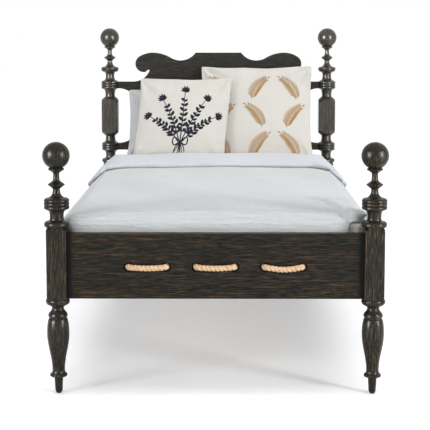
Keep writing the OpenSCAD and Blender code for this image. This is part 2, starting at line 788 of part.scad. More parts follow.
module crosswise_rope_knots() {
    for (y = [along[0], along[len(along) - 1]])
        translate([-post_x - knot_face, y, rope_z]) rotate([0, -90, 0]) knot();
}

// ---- Mattress and bedding --------------------------------------------------

// The border of a grid of nx by ny cells, once round
function border(nx, ny) = concat([for (i = [0:nx - 1]) [i, 0]], [for (j = [0:ny - 1]) [nx, j]],
                                 [for (i = [nx:-1:1]) [i, ny]], [for (j = [ny:-1:1]) [0, j]]);

// A padded block: a grid of top points over xs and ys with the heights tops,
// then rings [out in x, out in y, height] down from the grid's border, which go
// out by only part of that at the corners
module loaf(xs, ys, tops, skirt, corner) {
    nx = len(xs) - 1;
    ny = len(ys) - 1;
    edge = border(nx, ny);
    m = len(edge);
    first = (nx + 1) * (ny + 1);
    function way(k, n) = k == 0 ? -1 : k == n ? 1 : 0;
    points = concat(
        [for (j = [0:ny]) for (i = [0:nx]) [xs[i], ys[j], tops[j][i]]],
        [for (r = skirt) for (e = edge)
            let (dx = way(e[0], nx), dy = way(e[1], ny), c = dx != 0 && dy != 0 ? corner : 1)
            [xs[e[0]] + dx * c * r[0], ys[e[1]] + dy * c * r[1], r[2]]],
        [[(xs[0] + xs[nx]) / 2, (ys[0] + ys[ny]) / 2, skirt[len(skirt) - 1][2]]]);
    function at(ring, k) = ring == 0 ? edge[k % m][1] * (nx + 1) + edge[k % m][0]
                                     : first + (ring - 1) * m + k % m;
    top_faces = [for (j = [0:ny - 1]) for (i = [0:nx - 1])
        let (a = j * (nx + 1) + i) each [[a, a + nx + 1, a + nx + 2], [a, a + nx + 2, a + 1]]];
    side_faces = [for (ring = [0:len(skirt) - 1]) for (k = [0:m - 1])
        each [[at(ring, k), at(ring, k + 1), at(ring + 1, k + 1)],
              [at(ring, k), at(ring + 1, k + 1), at(ring + 1, k)]]];
    under = [for (k = [0:m - 1])
        [len(points) - 1, at(len(skirt), k), at(len(skirt), k + 1)]];
    polyhedron(points, concat(top_faces, side_faces, under), convexity = 6);
}

function spread(from, to, n) = [for (i = [0:n]) from + (to - from) * i / n];

// The mattress with a skin of thickness grow added all round
module mattress_form(grow) {
    e = mattress_edge;
    top = mattress_top + grow;
    x = mattress_w / 2 + grow - e;
    y = mattress_l / 2 + grow - e;
    xs = spread(-x, x, 4);
    ys = spread(-y, y, 6);
    rim = [for (t = [30, 60, 90]) [e * sin(t), e * sin(t), top - e * (1 - cos(t))]];
    foot = [for (t = [0, 30, 60, 90])
        [e * cos(t), e * cos(t), mattress_z - grow + e * (1 - sin(t))]];
    loaf(xs, ys, [for (b = ys) [for (a = xs) top]], concat(rim, foot), 0.68);
}

module mattress() {
    color([0.85, 0.80, 0.72]) mattress_form(0);
}

// The coverlet turns down over a rounded rim, swells out over the side rails,
// and its edges are tucked down inside the rails
cover_rim = 45;
cover_drop = 32;
cover_crown = 6;
over_rail = 4;
tuck_depth = 45;
foot_y = -(mattress_l / 2 + end_gap - 5);
cover_end = mattress_l / 2 - pillow_room;

// Height of the coverlet over the mattress, with its broad shallow folds
function cover_top(x, y, more) =
    let (u = x / mattress_w, v = y / mattress_w, along = (y - foot_y) / (cover_end - foot_y))
    mattress_top + coverlet_t + coverlet_loft * min(1, along * 1.4) + more
    - cover_crown * pow(2 * u, 2)
    + fold_depth * (sin(870 * u + 340 * v) + sin(725 * v - 290 * u)) / 2;

module cover_form(more) {
    x = mattress_w / 2 + side_gap + coverlet_swell - cover_rim;
    tuck = cover_rim - coverlet_swell - seat;
    top = mattress_top + coverlet_t - cover_crown + more;
    low = rail_top + over_rail;
    r = cover_rim + more;
    xs = spread(-x, x, 10);
    ys = spread(foot_y + cover_rim, mattress_l / 2, 21);
    loaf(xs, ys, [for (b = ys) [for (a = xs) cover_top(a, b, more)]],
         [[r * 0.42, r * 0.42, top - cover_drop * 0.19],
          [r * 0.78, r * 0.78, top - cover_drop * 0.53], [r, r * 0.98, top - cover_drop],
          [r - 1, r, low + over_rail], [tuck, r, low],
          [tuck, cover_rim, rail_top - tuck_depth]], 0.62);
}

// The coverlet's open corner, which leaves a patch of the mattress bare
patch_w = 51;
patch_h = 19;

module coverlet() {
    color([0.86, 0.87, 0.87]) difference() {
        cover_form(0);
        mattress_form(0.4);
        translate([-mattress_w, cover_end, 0])
            cube([2 * mattress_w, mattress_l, 2 * mattress_top]);
        translate([mattress_w / 2 - patch_w, foot_y - cover_rim, 0])
            cube([2 * patch_w, 2 * cover_rim, rail_top + patch_h]);
    }
}

module turned_sheet() {
    color([0.92, 0.93, 0.97]) difference() {
        intersection() {
            cover_form(turn_t);
            translate([-mattress_w, cover_end - turn_l, rail_top + over_rail + 1])
                cube([2 * mattress_w, turn_l, mattress_top]);
        }
        cover_form(seat);
    }
}

// ---- Pillows ---------------------------------------------------------------

// A stuffed pillow that stands on its flattened lower edge and leans back
module pillow(w, h, t, lean, place, n = 14) {
    c = [for (i = [0:n]) sin(-90 + 180 * i / n)];
    full = (n + 1) * (n + 1);
    function lift(u, v) = let (a = max(0, (1 - u * u) * (1 - v * v)))
        t / 2 * sqrt(a) * (1 + 0.12 * a) / 1.12;
    function at(i, j, side) = let (u = c[i], v = c[j])
        [w / 2 * u * (1 - pillow_pinch * (1 - v * v)), side * lift(u, v),
         h / 2 * (v * (1 - pillow_pinch * (1 - u * u)) + 1)];
    function front(i, j) = j * (n + 1) + i;
    function back(i, j) = i == 0 || j == 0 || i == n || j == n ? front(i, j)
                                                              : full + (j - 1) * (n - 1) + i - 1;
    function cell(a, b, c, d, same) = same ? [[a, c, b], [a, d, c]] : [[a, d, b], [b, d, c]];
    points = concat([for (j = [0:n]) for (i = [0:n]) at(i, j, -1)],
                    [for (j = [1:n - 1]) for (i = [1:n - 1]) at(i, j, 1)]);
    faces = [for (j = [0:n - 1]) for (i = [0:n - 1])
        let (same = (i < n / 2) == (j < n / 2), k = i + 1, l = j + 1)
        each concat(cell(front(i, j), front(k, j), front(k, l), front(i, l), same),
                    cell(back(k, j), back(i, j), back(i, l), back(k, l), !same))];
    difference() {
        translate([place[0], place[1], mattress_top + seat - pillow_sink])
            rotate([-lean, 0, 0]) polyhedron(points, faces, convexity = 4);
        translate([place[0] - w, place[1] - w, mattress_top + seat - w])
            cube([2 * w, 2 * w, w]);
    }
}

// Each pillow leans on the one behind it, and the last one on the headboard
white_lean = 12;
right_lean = 22;
left_lean = 24;
board_front = post_y - board_t / 2;
white_y = board_front - white_pillow_h * 0.69 * sin(white_lean) - white_pillow_t * 0.448
        - seat;
right_y = white_y - white_pillow_h * 0.088 - (white_pillow_t + right_pillow_t) / 2;
left_y = right_y + right_pillow_h * 0.0508 - (right_pillow_t + left_pillow_t) / 2;

module white_pillow() {
    color([0.90, 0.91, 0.95])
        pillow(white_pillow_w, white_pillow_h, white_pillow_t, white_lean,
               [-0.11 * mattress_w, white_y]);
}

module right_pillow() {
    color([0.90, 0.88, 0.84])
        pillow(right_pillow_w, right_pillow_h, right_pillow_t, right_lean,
               [0.1845 * mattress_w, right_y]);
}

module left_pillow() {
    color([0.88, 0.86, 0.80])
        pillow(left_pillow_w, left_pillow_h, left_pillow_t, left_lean,
               [-0.1535 * mattress_w, left_y]);
}

at_post(-1, -1) post(false);  // foot_post_left
at_post(1, -1) post(false);  // foot_post_right
at_post(-1, 1) post(true);  // head_post_left
at_post(1, 1) post(true);  // head_post_right
at_post(-1, -1) finial(foot_seat);  // foot_finial_left
at_post(1, -1) finial(foot_seat);  // foot_finial_right
at_post(-1, 1) finial(head_seat);  // head_finial_left
at_post(1, 1) finial(head_seat);  // head_finial_right
finial_dowels();
floor_glides();
end_rail(-post_y);  // foot_rail
end_rail(post_y);  // head_rail
side_rail(-post_x);  // side_rail_left
side_rail(post_x);  // side_rail_right
crest_board();
headboard_middle_board();
headboard_lower_board();
headboard_dowels();
rail_hook_plates();
post_catch_plates();
rail_plate_screws();
catch_plate_screws();
lengthwise_rope();
crosswise_rope();
lengthwise_rope_knots();
crosswise_rope_knots();
mattress();
coverlet();
turned_sheet();
white_pillow();
right_pillow();
left_pillow();
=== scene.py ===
"""Rope bed: turned posts, plank rails, a scrolled headboard and a laced rope web,
with its mattress and bedding. Metres, +Z up, the headboard towards +Y."""

import math

import bpy
from mathutils import Matrix, Vector, noise
from mathutils.bvhtree import BVHTree


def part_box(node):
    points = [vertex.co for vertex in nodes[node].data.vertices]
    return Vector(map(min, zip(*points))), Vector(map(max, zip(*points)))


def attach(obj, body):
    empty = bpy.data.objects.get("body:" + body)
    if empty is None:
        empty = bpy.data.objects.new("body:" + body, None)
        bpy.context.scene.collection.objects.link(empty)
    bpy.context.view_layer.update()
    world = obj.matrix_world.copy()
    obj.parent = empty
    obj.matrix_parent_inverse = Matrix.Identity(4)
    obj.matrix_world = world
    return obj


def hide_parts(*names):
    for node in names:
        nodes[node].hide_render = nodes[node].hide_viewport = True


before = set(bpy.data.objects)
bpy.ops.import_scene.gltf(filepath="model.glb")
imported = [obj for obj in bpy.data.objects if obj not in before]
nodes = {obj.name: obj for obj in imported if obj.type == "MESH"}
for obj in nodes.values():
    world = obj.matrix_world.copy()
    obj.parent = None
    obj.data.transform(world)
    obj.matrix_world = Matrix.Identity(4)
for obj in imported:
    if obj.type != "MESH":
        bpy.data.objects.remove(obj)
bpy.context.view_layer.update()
bpy.ops.object.select_all(action="DESELECT")

# ---- Studio ----------------------------------------------------------------
# A camera at the foot of the bed, a white sweep and one broad light overhead. Soft
# boxes light both sides, the front and the pillows, and a tall strip on each side only
# shows as a reflection in the polish.

bpy.ops.object.camera_add(
    location=(0.0286, -5.1375, 1.2026),
    rotation=(math.radians(83.8), 0, math.radians(0.415)),
)
camera = bpy.context.object
camera.data.sensor_width = 36
camera.data.lens = 107.94
camera.data.shift_y = -0.1156
bpy.context.scene.camera = camera

scene = bpy.context.scene
scene.view_settings.view_transform = "Standard"


def feed(tree, node, feeds):
    """Gives each named or numbered socket of a node its value, or a link to it."""
    for socket, value in feeds.items():
        if hasattr(value, "is_output"):
            tree.links.new(value, node.inputs[socket])
        else:
            node.inputs[socket].default_value = value


def put(tree, kind, feeds=None, **settings):
    """A new shader node with its settings and what feeds its sockets."""
    made = tree.nodes.new(kind)
    for key, value in settings.items():
        setattr(made, key, value)
    feed(tree, made, feeds or {})
    return made


def maths(tree, how, *values):
    return put(tree, "ShaderNodeMath", dict(enumerate(values)), operation=how).outputs[0]


def shown_as(tree, lit, shown):
    """The lit shader lights the bed. The camera, the polish and glass see shown."""
    path = put(tree, "ShaderNodeLightPath").outputs
    mirrored = maths(tree, "MAXIMUM", path["Is Glossy Ray"], path["Is Transmission Ray"])
    seen = maths(tree, "MAXIMUM", path["Is Camera Ray"], mirrored)
    return put(tree, "ShaderNodeMixShader", {"Fac": seen, 1: lit, 2: shown}).outputs[0]


world = bpy.data.worlds.new("studio_air")
scene.world = world
world.use_nodes = True
tree = world.node_tree
tree.nodes.clear()
dim_air = put(tree, "ShaderNodeBackground", {"Color": (0.98, 0.99, 1.0, 1), "Strength": 0.27})
white_air = put(tree, "ShaderNodeBackground", {"Color": (1, 1, 1, 1), "Strength": 1.0})
air = shown_as(tree, dim_air.outputs[0], white_air.outputs[0])
put(tree, "ShaderNodeOutputWorld", {"Surface": air})

bpy.ops.mesh.primitive_plane_add(size=60, location=(0, 0, 0))
floor = bpy.context.object
floor.name = "studio_floor"
sweep = bpy.data.materials.new("studio_floor")
sweep.use_nodes = True
tree = sweep.node_tree
tree.nodes.clear()
pale = put(tree, "ShaderNodeBsdfDiffuse", {"Color": (0.8, 0.8, 0.8, 1)}).outputs[0]
white = put(tree, "ShaderNodeBsdfDiffuse", {"Color": (1, 1, 1, 1)}).outputs[0]
glow = put(tree, "ShaderNodeEmission", {"Color": (0.86, 0.93, 1, 1), "Strength": 0.25}).outputs[0]
bright = put(tree, "ShaderNodeAddShader", {0: white, 1: glow}).outputs[0]
put(tree, "ShaderNodeOutputMaterial", {"Surface": shown_as(tree, pale, bright)})
floor.data.materials.append(sweep)

bpy.ops.object.light_add(type="SUN", rotation=(math.radians(-9), math.radians(3), 0))
overhead = bpy.context.object
overhead.data.energy = 1.7
overhead.data.angle = math.radians(60)
overhead.visible_glossy = False

for place, aim_at, width, height, watts, is_strip in (
    ((-3.7, -3.8, 1.7), (0, 0.2, 0.55), 1.3, 1.5, 78, False),
    ((3.7, -3.5, 1.05), (0, 0.2, 0.45), 0.9, 0.8, 160, False),
    ((0.3, -5.6, 2.8), (0, -0.4, 0.5), 3.6, 1.6, 25, False),
    ((0, -0.9, 3.2), (0, 1.0, 0.85), 2.2, 0.9, 20, False),
    ((-3.9, -3.8, 1.6), (0, -0.6, 0.6), 0.8, 2.6, 620, True),
    ((3.9, -3.4, 1.6), (0, -0.6, 0.6), 0.7, 2.4, 400, True),
):
    bpy.ops.object.light_add(type="AREA", location=place)
    box_light = bpy.context.object
    box_light.data.shape = "RECTANGLE"
    box_light.data.size = width
    box_light.data.size_y = height
    box_light.data.energy = watts
    box_light.visible_glossy = is_strip
    box_light.visible_diffuse = not is_strip
    aim = Vector(aim_at) - box_light.location
    box_light.rotation_euler = aim.to_track_quat("-Z", "Y").to_euler()

# ---- Posts and finials -----------------------------------------------------
# Turned hardwood posts with ball finials. The wood is stained nearly black, its
# brown grain rubs through on the turned edges, and its grooves get painted shade.

BLOCK_Z, BLOCK_HALF = 0.427, 0.122
# Near black painted shade for the grooves, and for the rail ends where the posts shade them.
PAINTED_SHADE_TONE = (0.003, 0.003, 0.0028)


def new_finish(name):
    finish = bpy.data.materials.new(name)
    finish.use_nodes = True
    return finish, finish.node_tree, finish.node_tree.nodes["Principled BSDF"]


def ramp(tree, value, stops):
    """Colours or greys between stops of (place, colour)."""
    made = put(tree, "ShaderNodeValToRGB", {"Fac": value})
    band = made.color_ramp
    while len(band.elements) < len(stops):
        band.elements.new(0.5)
    for element, (place, colour) in zip(band.elements, stops):
        element.position = place
        if not hasattr(colour, "__len__"):
            colour = (colour, colour, colour)
        element.color = (*colour, 1)
    return made.outputs["Color"]


def times(tree, a, b):
    return maths(tree, "MULTIPLY", a, b)


def blended(tree, share, a, b):
    """Colour a, turning to colour b as share goes from 0 to 1."""
    a, b = (c if hasattr(c, "is_output") else (*c, 1) for c in (a, b))
    return put(tree, "ShaderNodeMix", {0: share, 6: a, 7: b}, data_type="RGBA").outputs[2]


def own_axes(tree):
    return put(tree, "ShaderNodeTexCoord").outputs["Object"]


def specks(tree, scale, detail, stretch=(1, 1, 1), roughness=0.5, warp=0.0):
    """Noise from 0 to 1, drawn out along each axis whose stretch is small."""
    mapped = put(tree, "ShaderNodeMapping", {"Vector": own_axes(tree), "Scale": stretch})
    look = {"Scale": scale, "Detail": detail, "Roughness": roughness, "Distortion": warp}
    return put(tree, "ShaderNodeTexNoise", {"Vector": mapped.outputs[0], **look}).outputs["Fac"]


def stained_wood(name, along, brown, polish, rough, depth=0.0045, turned=1.0, shoulder=0.9):
    """Dark stained hardwood with its grain along X, Y or Z. brown is how much colour
    rubs through, and turned the share of it away from the square blocks. depth is how
    much light the stain gives back, and past |X| of shoulder it carries painted shadow of a post."""
    finish, tree, shader = new_finish(name)

    def grain(length, scale, detail, roughness=0.55, warp=0.0):
        stretch = [length if axis == along else 1 for axis in "XYZ"]
        return specks(tree, scale, detail, stretch, roughness, warp)

    fine = ramp(tree, grain(0.05, 430, 3, 0.65), ((0.44, 0), (0.60, 1)))
    pores = ramp(tree, grain(0.03, 950, 2), ((0.50, 0), (0.68, 1)))
    streak = ramp(tree, grain(0.09, 330, 5, 0.72, 0.12), ((0.49, 0), (0.64, 1)))
    thread = ramp(tree, grain(0.020, 300, 4, 0.6, 0.2), ((0.60, 0), (0.68, 1)))
    patch = ramp(tree, grain(0.3, 16, 3, 0.6), ((0.40, 0.22), (0.62, 1)))
    worn = times(tree, times(tree, streak, ramp(tree, fine, ((0, 0.2), (1, 1)))), patch)
    worn = maths(tree, "MAXIMUM", worn, thread)
    spot = put(tree, "ShaderNodeSeparateXYZ", {0: own_axes(tree)}).outputs
    square = maths(tree, "COMPARE", spot["Z"], BLOCK_Z, BLOCK_HALF)
    worn = times(tree, worn, ramp(tree, square, ((0, turned), (1, 1))))
    stain = (depth, depth * 1.05, depth * 0.92)
    tint = blended(tree, times(tree, fine, 0.52), stain, (0.031, 0.035, 0.028))
    tint = blended(tree, worn, tint, (0.150 * brown, 0.086 * brown, 0.041 * brown))
    tint = blended(tree, times(tree, pores, 0.4), tint, (0.036, 0.030, 0.023))

    face = put(tree, "ShaderNodeNewGeometry").outputs["Normal"]
    soft = put(tree, "ShaderNodeBevel", {"Radius": 0.0032}, samples=6).outputs[0]
    eased_edge = put(tree, "ShaderNodeBevel", {"Radius": 0.0009}, samples=4).outputs[0]
    lean = put(tree, "ShaderNodeVectorMath", {0: face, 1: soft}, operation="DOT_PRODUCT")
    edge = ramp(tree, lean.outputs["Value"], ((0.80, 1), (0.985, 0)))
    open_air = put(tree, "ShaderNodeAmbientOcclusion", {"Distance": 0.015}, samples=8).outputs["AO"]
    bare_edge = times(tree, edge, ramp(tree, open_air, ((0.40, 0), (0.85, 1))))
    rub = times(tree, bare_edge, ramp(tree, grain(0.3, 60, 3), ((0.35, 0.1), (0.6, 0.8))))
    tint = blended(tree, rub, tint, (0.11 * brown, 0.076 * brown, 0.046 * brown))
    # Painted shade: the grooves and hollows turn near black where the occlusion is deepest.
    tint = blended(tree, ramp(tree, open_air, ((0.25, 0.95), (0.85, 0))), tint, PAINTED_SHADE_TONE)
    # Painted shadow: past |X| of shoulder the rail darkens where the post shades its recessed end.
    out = maths(tree, "ABSOLUTE", spot["X"])
    post_shadow = ramp(tree, out, ((shoulder - 0.012, 0), (shoulder, 0.85)))
    relief = maths(tree, "ADD", times(tree, fine, 0.7), times(tree, pores, 0.5))
    bump = {"Strength": 0.15, "Distance": 0.0006, "Height": relief, "Normal": eased_edge}
    feed(tree, shader, {
        "Base Color": blended(tree, post_shadow, tint, PAINTED_SHADE_TONE),
        "Roughness": ramp(tree, streak, ((0, rough), (1, rough + 0.10))),
        "Specular IOR Level": polish,
        "Normal": put(tree, "ShaderNodeBump", bump).outputs[0],
    })
    return finish


def dress(finish, *names):
    for name in names:
        for part in nodes[name].material_slots:
            part.material = finish


post_wood = stained_wood(
    "post_wood", "Z", brown=1.25, polish=0.15, rough=0.26, depth=0.0035, turned=0.65
)
dress(post_wood, "foot_post_left", "foot_post_right", "foot_finial_left", "foot_finial_right")
# The head posts get a lighter, glossier copy of the same wood: painted light for the light that
# falls on them at the head of the bed.
head_lit_wood = stained_wood("head_post_painted_light_wood", "Z", brown=1.25, polish=0.45, rough=0.24, depth=0.019)
dress(head_lit_wood, "head_post_left", "head_post_right", "head_finial_left", "head_finial_right")

# ---- Rails -----------------------------------------------------------------
# Four planks of the same wood, with the grain along each. The end rails are
# tenoned into the posts and the side rails hang on hidden hooks.

# The end rails carry painted shadow of the posts at both ends.
end_wood = stained_wood("end_rail_wood", "X", brown=0.68, polish=0.08, rough=0.36, shoulder=0.472)
dress(end_wood, "foot_rail", "head_rail")
side_wood = stained_wood("side_rail_wood", "Y", brown=0.68, polish=0.08, rough=0.36)
dress(side_wood, "side_rail_left", "side_rail_right")

# ---- Headboard -------------------------------------------------------------
# Three planks of the same wood, glued edge to edge with the grain across the bed, and
# sawn to the scrolled outline.

board_wood = stained_wood("headboard_wood", "X", brown=0.62, polish=0.17, rough=0.36, depth=0.006)
dress(board_wood, "crest_board", "headboard_middle_board", "headboard_lower_board")

# ---- Dowels, glides, hooks and screws --------------------------------------
# The bare beech dowels and the zinc-plated hook plates sit inside the joints. A
# black nylon glide is nailed under each toe.

beech, tree, shader = new_finish("beech")
flecks = specks(tree, 900, 3, (1, 1, 0.08))
tone = ramp(tree, flecks, ((0.35, (0.66, 0.47, 0.28)), (0.65, (0.52, 0.34, 0.18))))
feed(tree, shader, {"Base Color": tone, "Roughness": 0.6})
dress(beech, "finial_dowels", "headboard_dowels")

zinc, tree, shader = new_finish("zinc_plate")
brush = specks(tree, 1800, 2, (1, 1, 0.05))
tone = ramp(tree, brush, ((0.3, (0.50, 0.51, 0.53)), (0.7, (0.68, 0.69, 0.70))))
dull = ramp(tree, brush, ((0.3, 0.32), (0.7, 0.45)))
feed(tree, shader, {"Base Color": tone, "Roughness": dull, "Metallic": 1.0})
dress(zinc, "rail_hook_plates", "post_catch_plates", "rail_plate_screws", "catch_plate_screws")

nylon, tree, shader = new_finish("black_nylon")
scuff = specks(tree, 700, 4)
tone = ramp(tree, scuff, ((0.4, 0.016), (0.7, 0.045)))
feed(tree, shader, {"Base Color": tone, "Roughness": ramp(tree, scuff, ((0.3, 0.45), (0.7, 0.7)))})
dress(nylon, "floor_glides")

# ---- Rope ------------------------------------------------------------------
# Two lengths of 20 mm three-strand rope, laced through the rails. One runs from
# foot to head, the other weaves over and under it from side to side.

POST_X, POST_Y = 0.515, 1.0
RAIL_T = 0.038
ROPE_R = 0.010
low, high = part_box("crosswise_rope")
ROPE_Z = (low.z + high.z) / 2
BEND = 0.014
WEAVE, WEAVE_FLAT = 0.0204, 0.014
STITCH, STITCH_GAP = 0.124, 0.097
CLEAR, INTO_KNOT = 0.0003, 0.004
STITCH_OFF = RAIL_T / 2 + ROPE_R + CLEAR
KNOT_FACE = RAIL_T / 2 + CLEAR
ROPE_END = KNOT_FACE + INTO_KNOT
LAY = 0.040
ROUTE_STEP, RING_STEP = 0.0045, 0.0046
HOLE_SWELL, HOLE_MOUTH = 1.24, 0.006


def hole_places(stitches):
    """How far along its rail each hole of a row of stitches is from the middle."""
    start = -(stitches * STITCH + (stitches - 1) * STITCH_GAP) / 2
    return [
        start + (i // 2) * (STITCH + STITCH_GAP) + (i % 2) * STITCH for i in range(2 * stitches)
    ]


def stitch_path(a, b, out, sag=0.003):
    """Out of hole a, along the rail and into hole b, round two quarter bends."""
    along = (b - a).normalized()
    flat = (b - a).length - 2 * BEND
    bend = [(1 - math.cos(t), 1 - math.sin(t)) for t in (math.radians(15 * i) for i in range(7))]
    path = [a + along * BEND * rise - out * BEND * fall for rise, fall in bend]
    for k in range(1, 12):
        u = k / 12
        path.append(a + along * (BEND + u * flat) - Vector((0, 0, sag * 4 * u * (1 - u))))
    return path + [b - along * BEND * fall - out * BEND * rise for rise, fall in bend]


end_holes, side_holes = hole_places(3), hole_places(7)
long_way = [Vector((end_holes[0], POST_Y + ROPE_END, ROPE_Z))]
for i in range(len(end_holes) - 1):
    end = -1 if i % 2 == 0 else 1
    a, b = (Vector((x, end * (POST_Y + STITCH_OFF), ROPE_Z)) for x in end_holes[i:i + 2])
    # The right-hand stitch of the foot rail hangs looser than the rest.
    long_way += stitch_path(a, b, Vector((0, end, 0)), 0.006 if i == 4 else 0.0025)
long_way.append(Vector((end_holes[-1], POST_Y + ROPE_END, ROPE_Z)))

# The crosswise rope leaves each side rail straight for 8 mm before it weaves.
cross_way = [Vector((-POST_X - ROPE_END, side_holes[0], ROPE_Z))]
side_in = POST_X - RAIL_T / 2 - 0.008
for i, y in enumerate(side_holes):
    way = 1 if i % 2 == 0 else -1
    cross_way.append(Vector((-way * side_in, y, ROPE_Z)))
    for k in range(len(end_holes)):
        j = k if way > 0 else len(end_holes) - 1 - k
        lift = WEAVE if (i + j) % 2 == 0 else -WEAVE
        for s in (-1, 1):
            cross_way.append(Vector((end_holes[j] + way * s * WEAVE_FLAT, y, ROPE_Z + lift)))
    cross_way.append(Vector((way * side_in, y, ROPE_Z)))
    if i < len(side_holes) - 1:
        x = way * (POST_X + STITCH_OFF)
        a, b = (Vector((x, hole, ROPE_Z)) for hole in side_holes[i:i + 2])
        cross_way += stitch_path(a, b, Vector((way, 0, 0)))
cross_way.append(Vector((-POST_X - ROPE_END, side_holes[-1], ROPE_Z)))


def even_steps(path, step):
    """Points a step apart along a path."""
    marks = [0.0]
    for a, b in zip(path, path[1:]):
        marks.append(marks[-1] + (b - a).length)
    count = round(marks[-1] / step)
    found, k = [], 0
    for i in range(count + 1):
        s = marks[-1] * i / count
        while k < len(path) - 2 and marks[k + 1] < s:
            k += 1
        found.append(path[k].lerp(path[k + 1], (s - marks[k]) / (marks[k + 1] - marks[k])))
    return found


def eased(path, rounds):
    """The same path with its corners softened."""
    for _ in range(rounds):
        inner = [(a + b * 2 + c) / 4 for a, b, c in zip(path, path[1:], path[2:])]
        path = [path[0], *inner, path[-1]]
    return path


def alone(piece):
    """Selects this piece and nothing else."""
    bpy.ops.object.select_all(action="DESELECT")
    piece.select_set(True)
    bpy.context.view_layer.objects.active = piece


def drawn(name, path, closed=False):
    """A curve object through the points of a path."""
    line = bpy.data.curves.new(name, "CURVE")
    line.dimensions = "3D"
    line.use_fill_caps = True
    spline = line.splines.new("POLY")
    spline.points.add(len(path) - 1)
    for point, place in zip(spline.points, path):
        point.co = (*place, 1)
    spline.use_cyclic_u = closed
    made = bpy.data.objects.new(name, line)
    scene.collection.objects.link(made)
    return made


def as_mesh(curve):
    alone(curve)
    bpy.ops.object.convert(target="MESH")
    return bpy.context.object


def three_strands(name, path):
    """A three-strand rope: a clover-leaf section swept along the path as it turns.

    It swells a little inside the planks, where it fills its holes."""
    core, strand = ROPE_R * 0.5, ROPE_R * 0.515
    arc, sides = 144, 5
    ring = []
    for k in range(3):
        turn = math.radians(120 * k)
        for i in range(sides + 1):
            a = turn + math.radians(arc * i / sides - arc / 2)
            x = core * math.cos(turn) + strand * math.cos(a)
            ring.append((x, core * math.sin(turn) + strand * math.sin(a), 0))
    section = drawn(name + "_section", ring, True)

    steps = even_steps(path, RING_STEP)
    rope = drawn(name, steps)
    rope.data.bevel_mode = "OBJECT"
    rope.data.bevel_object = section
    rope.data.twist_mode = "Z_UP"
    gone = 0.0
    for k, (point, place) in enumerate(zip(rope.data.splines[0].points, steps)):
        gone += (place - steps[k - 1]).length if k else 0
        point.tilt = math.remainder(math.tau * gone / LAY, math.tau)
        inside = min(abs(abs(place.y) - POST_Y), abs(abs(place.x) - POST_X))
        point.radius = HOLE_SWELL if inside < RAIL_T / 2 - HOLE_MOUTH else 1.0
    rope = as_mesh(rope)
    bpy.data.objects.remove(section)
    bpy.ops.object.mode_set(mode="EDIT")
    bpy.ops.mesh.select_all(action="SELECT")
    bpy.ops.mesh.flip_normals()
    bpy.ops.object.mode_set(mode="OBJECT")
    bpy.ops.object.shade_smooth_by_angle(angle=math.radians(70))
    return rope


def covered(piece, finish):
    piece.data.materials.clear()
    piece.data.materials.append(finish)


straw, tree, shader = new_finish("straw_rope")
hairs = specks(tree, 900, 5, roughness=0.7)
blots = ramp(tree, specks(tree, 60, 3), ((0.4, 0), (0.7, 0.45)))
fibre = ((0.32, (0.46, 0.26, 0.13)), (0.52, (0.76, 0.50, 0.29)), (0.72, (0.90, 0.67, 0.45)))
tone = blended(tree, blots, ramp(tree, hairs, fibre), (0.60, 0.40, 0.20))
# Painted shade: the rope turns dark brown in the valleys between its strands, where the occlusion
# is deepest.
strand_valley_shade = put(tree, "ShaderNodeAmbientOcclusion", {"Distance": 0.006}, samples=6).outputs["AO"]
tone = blended(tree, ramp(tree, strand_valley_shade, ((0.35, 0.95), (0.95, 0))), tone, (0.17, 0.078, 0.032))
fluff = put(tree, "ShaderNodeBump", {"Strength": 0.5, "Distance": 0.0007, "Height": hairs})
feed(tree, shader, {"Base Color": tone, "Roughness": 0.82, "Normal": fluff.outputs[0]})
feed(tree, shader, {"Sheen Weight": 0.25, "Sheen Roughness": 0.5})

for name, path in (("lengthwise_rope", long_way), ("crosswise_rope", cross_way)):
    rope = three_strands(name + "_twisted", eased(even_steps(path, ROUTE_STEP), 4))
    covered(rope, straw)
    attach(rope, "frame")
    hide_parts(name)

# ---- Rope knots ------------------------------------------------------------
# Each rope end is stopped by a wall knot: its three strands are tucked round each
# other into a button against the rail, and the whipped end shows in the middle.

BUTTON_R, BUTTON_OFF, BUTTON_STRAND = 0.0107, 0.0097, 0.0046
WEAVE_R, WEAVE_OFF = 0.0042, 0.0046
END_R, END_STRAND, END_OUT = 0.0037, 0.0040, 0.0225
WHIP_R, WHIP_OFF, TWINE = 0.0080, 0.0188, 0.0006


def strand_curve(name, path, radius, closed):
    """A round strand along the path, as a mesh."""
    strand = drawn(name, path, closed)
    strand.data.bevel_depth = radius
    strand.data.bevel_resolution = 3
    strand = as_mesh(strand)
    bpy.ops.object.shade_smooth()
    return strand


def joined(name, pieces):
    bpy.ops.object.select_all(action="DESELECT")
    for piece in pieces:
        piece.select_set(True)
    bpy.context.view_layer.objects.active = pieces[0]
    bpy.ops.object.join()
    whole = bpy.context.object
    whole.name = name
    return whole


def wall_knot(at, out):
    """The button, the three ends that stand out of it, and the twine round them."""
    up = Vector((0, 0, 1))
    side = up.cross(out)

    def spot(ahead, radius, angle):
        return at + out * ahead + side * radius * math.cos(angle) + up * radius * math.sin(angle)

    button = []
    for k in range(150):
        s = math.tau * k / 150
        wide = BUTTON_R + WEAVE_R * math.cos(5 * s)
        button.append(spot(BUTTON_OFF + WEAVE_OFF * math.sin(5 * s), wide, 2 * s))
    parts = [strand_curve("knot_strand", button, BUTTON_STRAND, True)]
    steps = (0, 0.2, 0.4, 0.6, 0.8, 1)
    for k in range(3):
        angle = math.radians(120 * k)
        end = [spot(0.0005 + END_OUT * t, END_R, angle + 1.2 * t) for t in steps]
        parts.append(strand_curve("knot_end", end, END_STRAND, False))
    whip = [spot(WHIP_OFF + 0.00006 * k, WHIP_R, k * 0.55) for k in range(46)]
    parts.append(strand_curve("knot_whipping", whip, TWINE, False))
    return parts


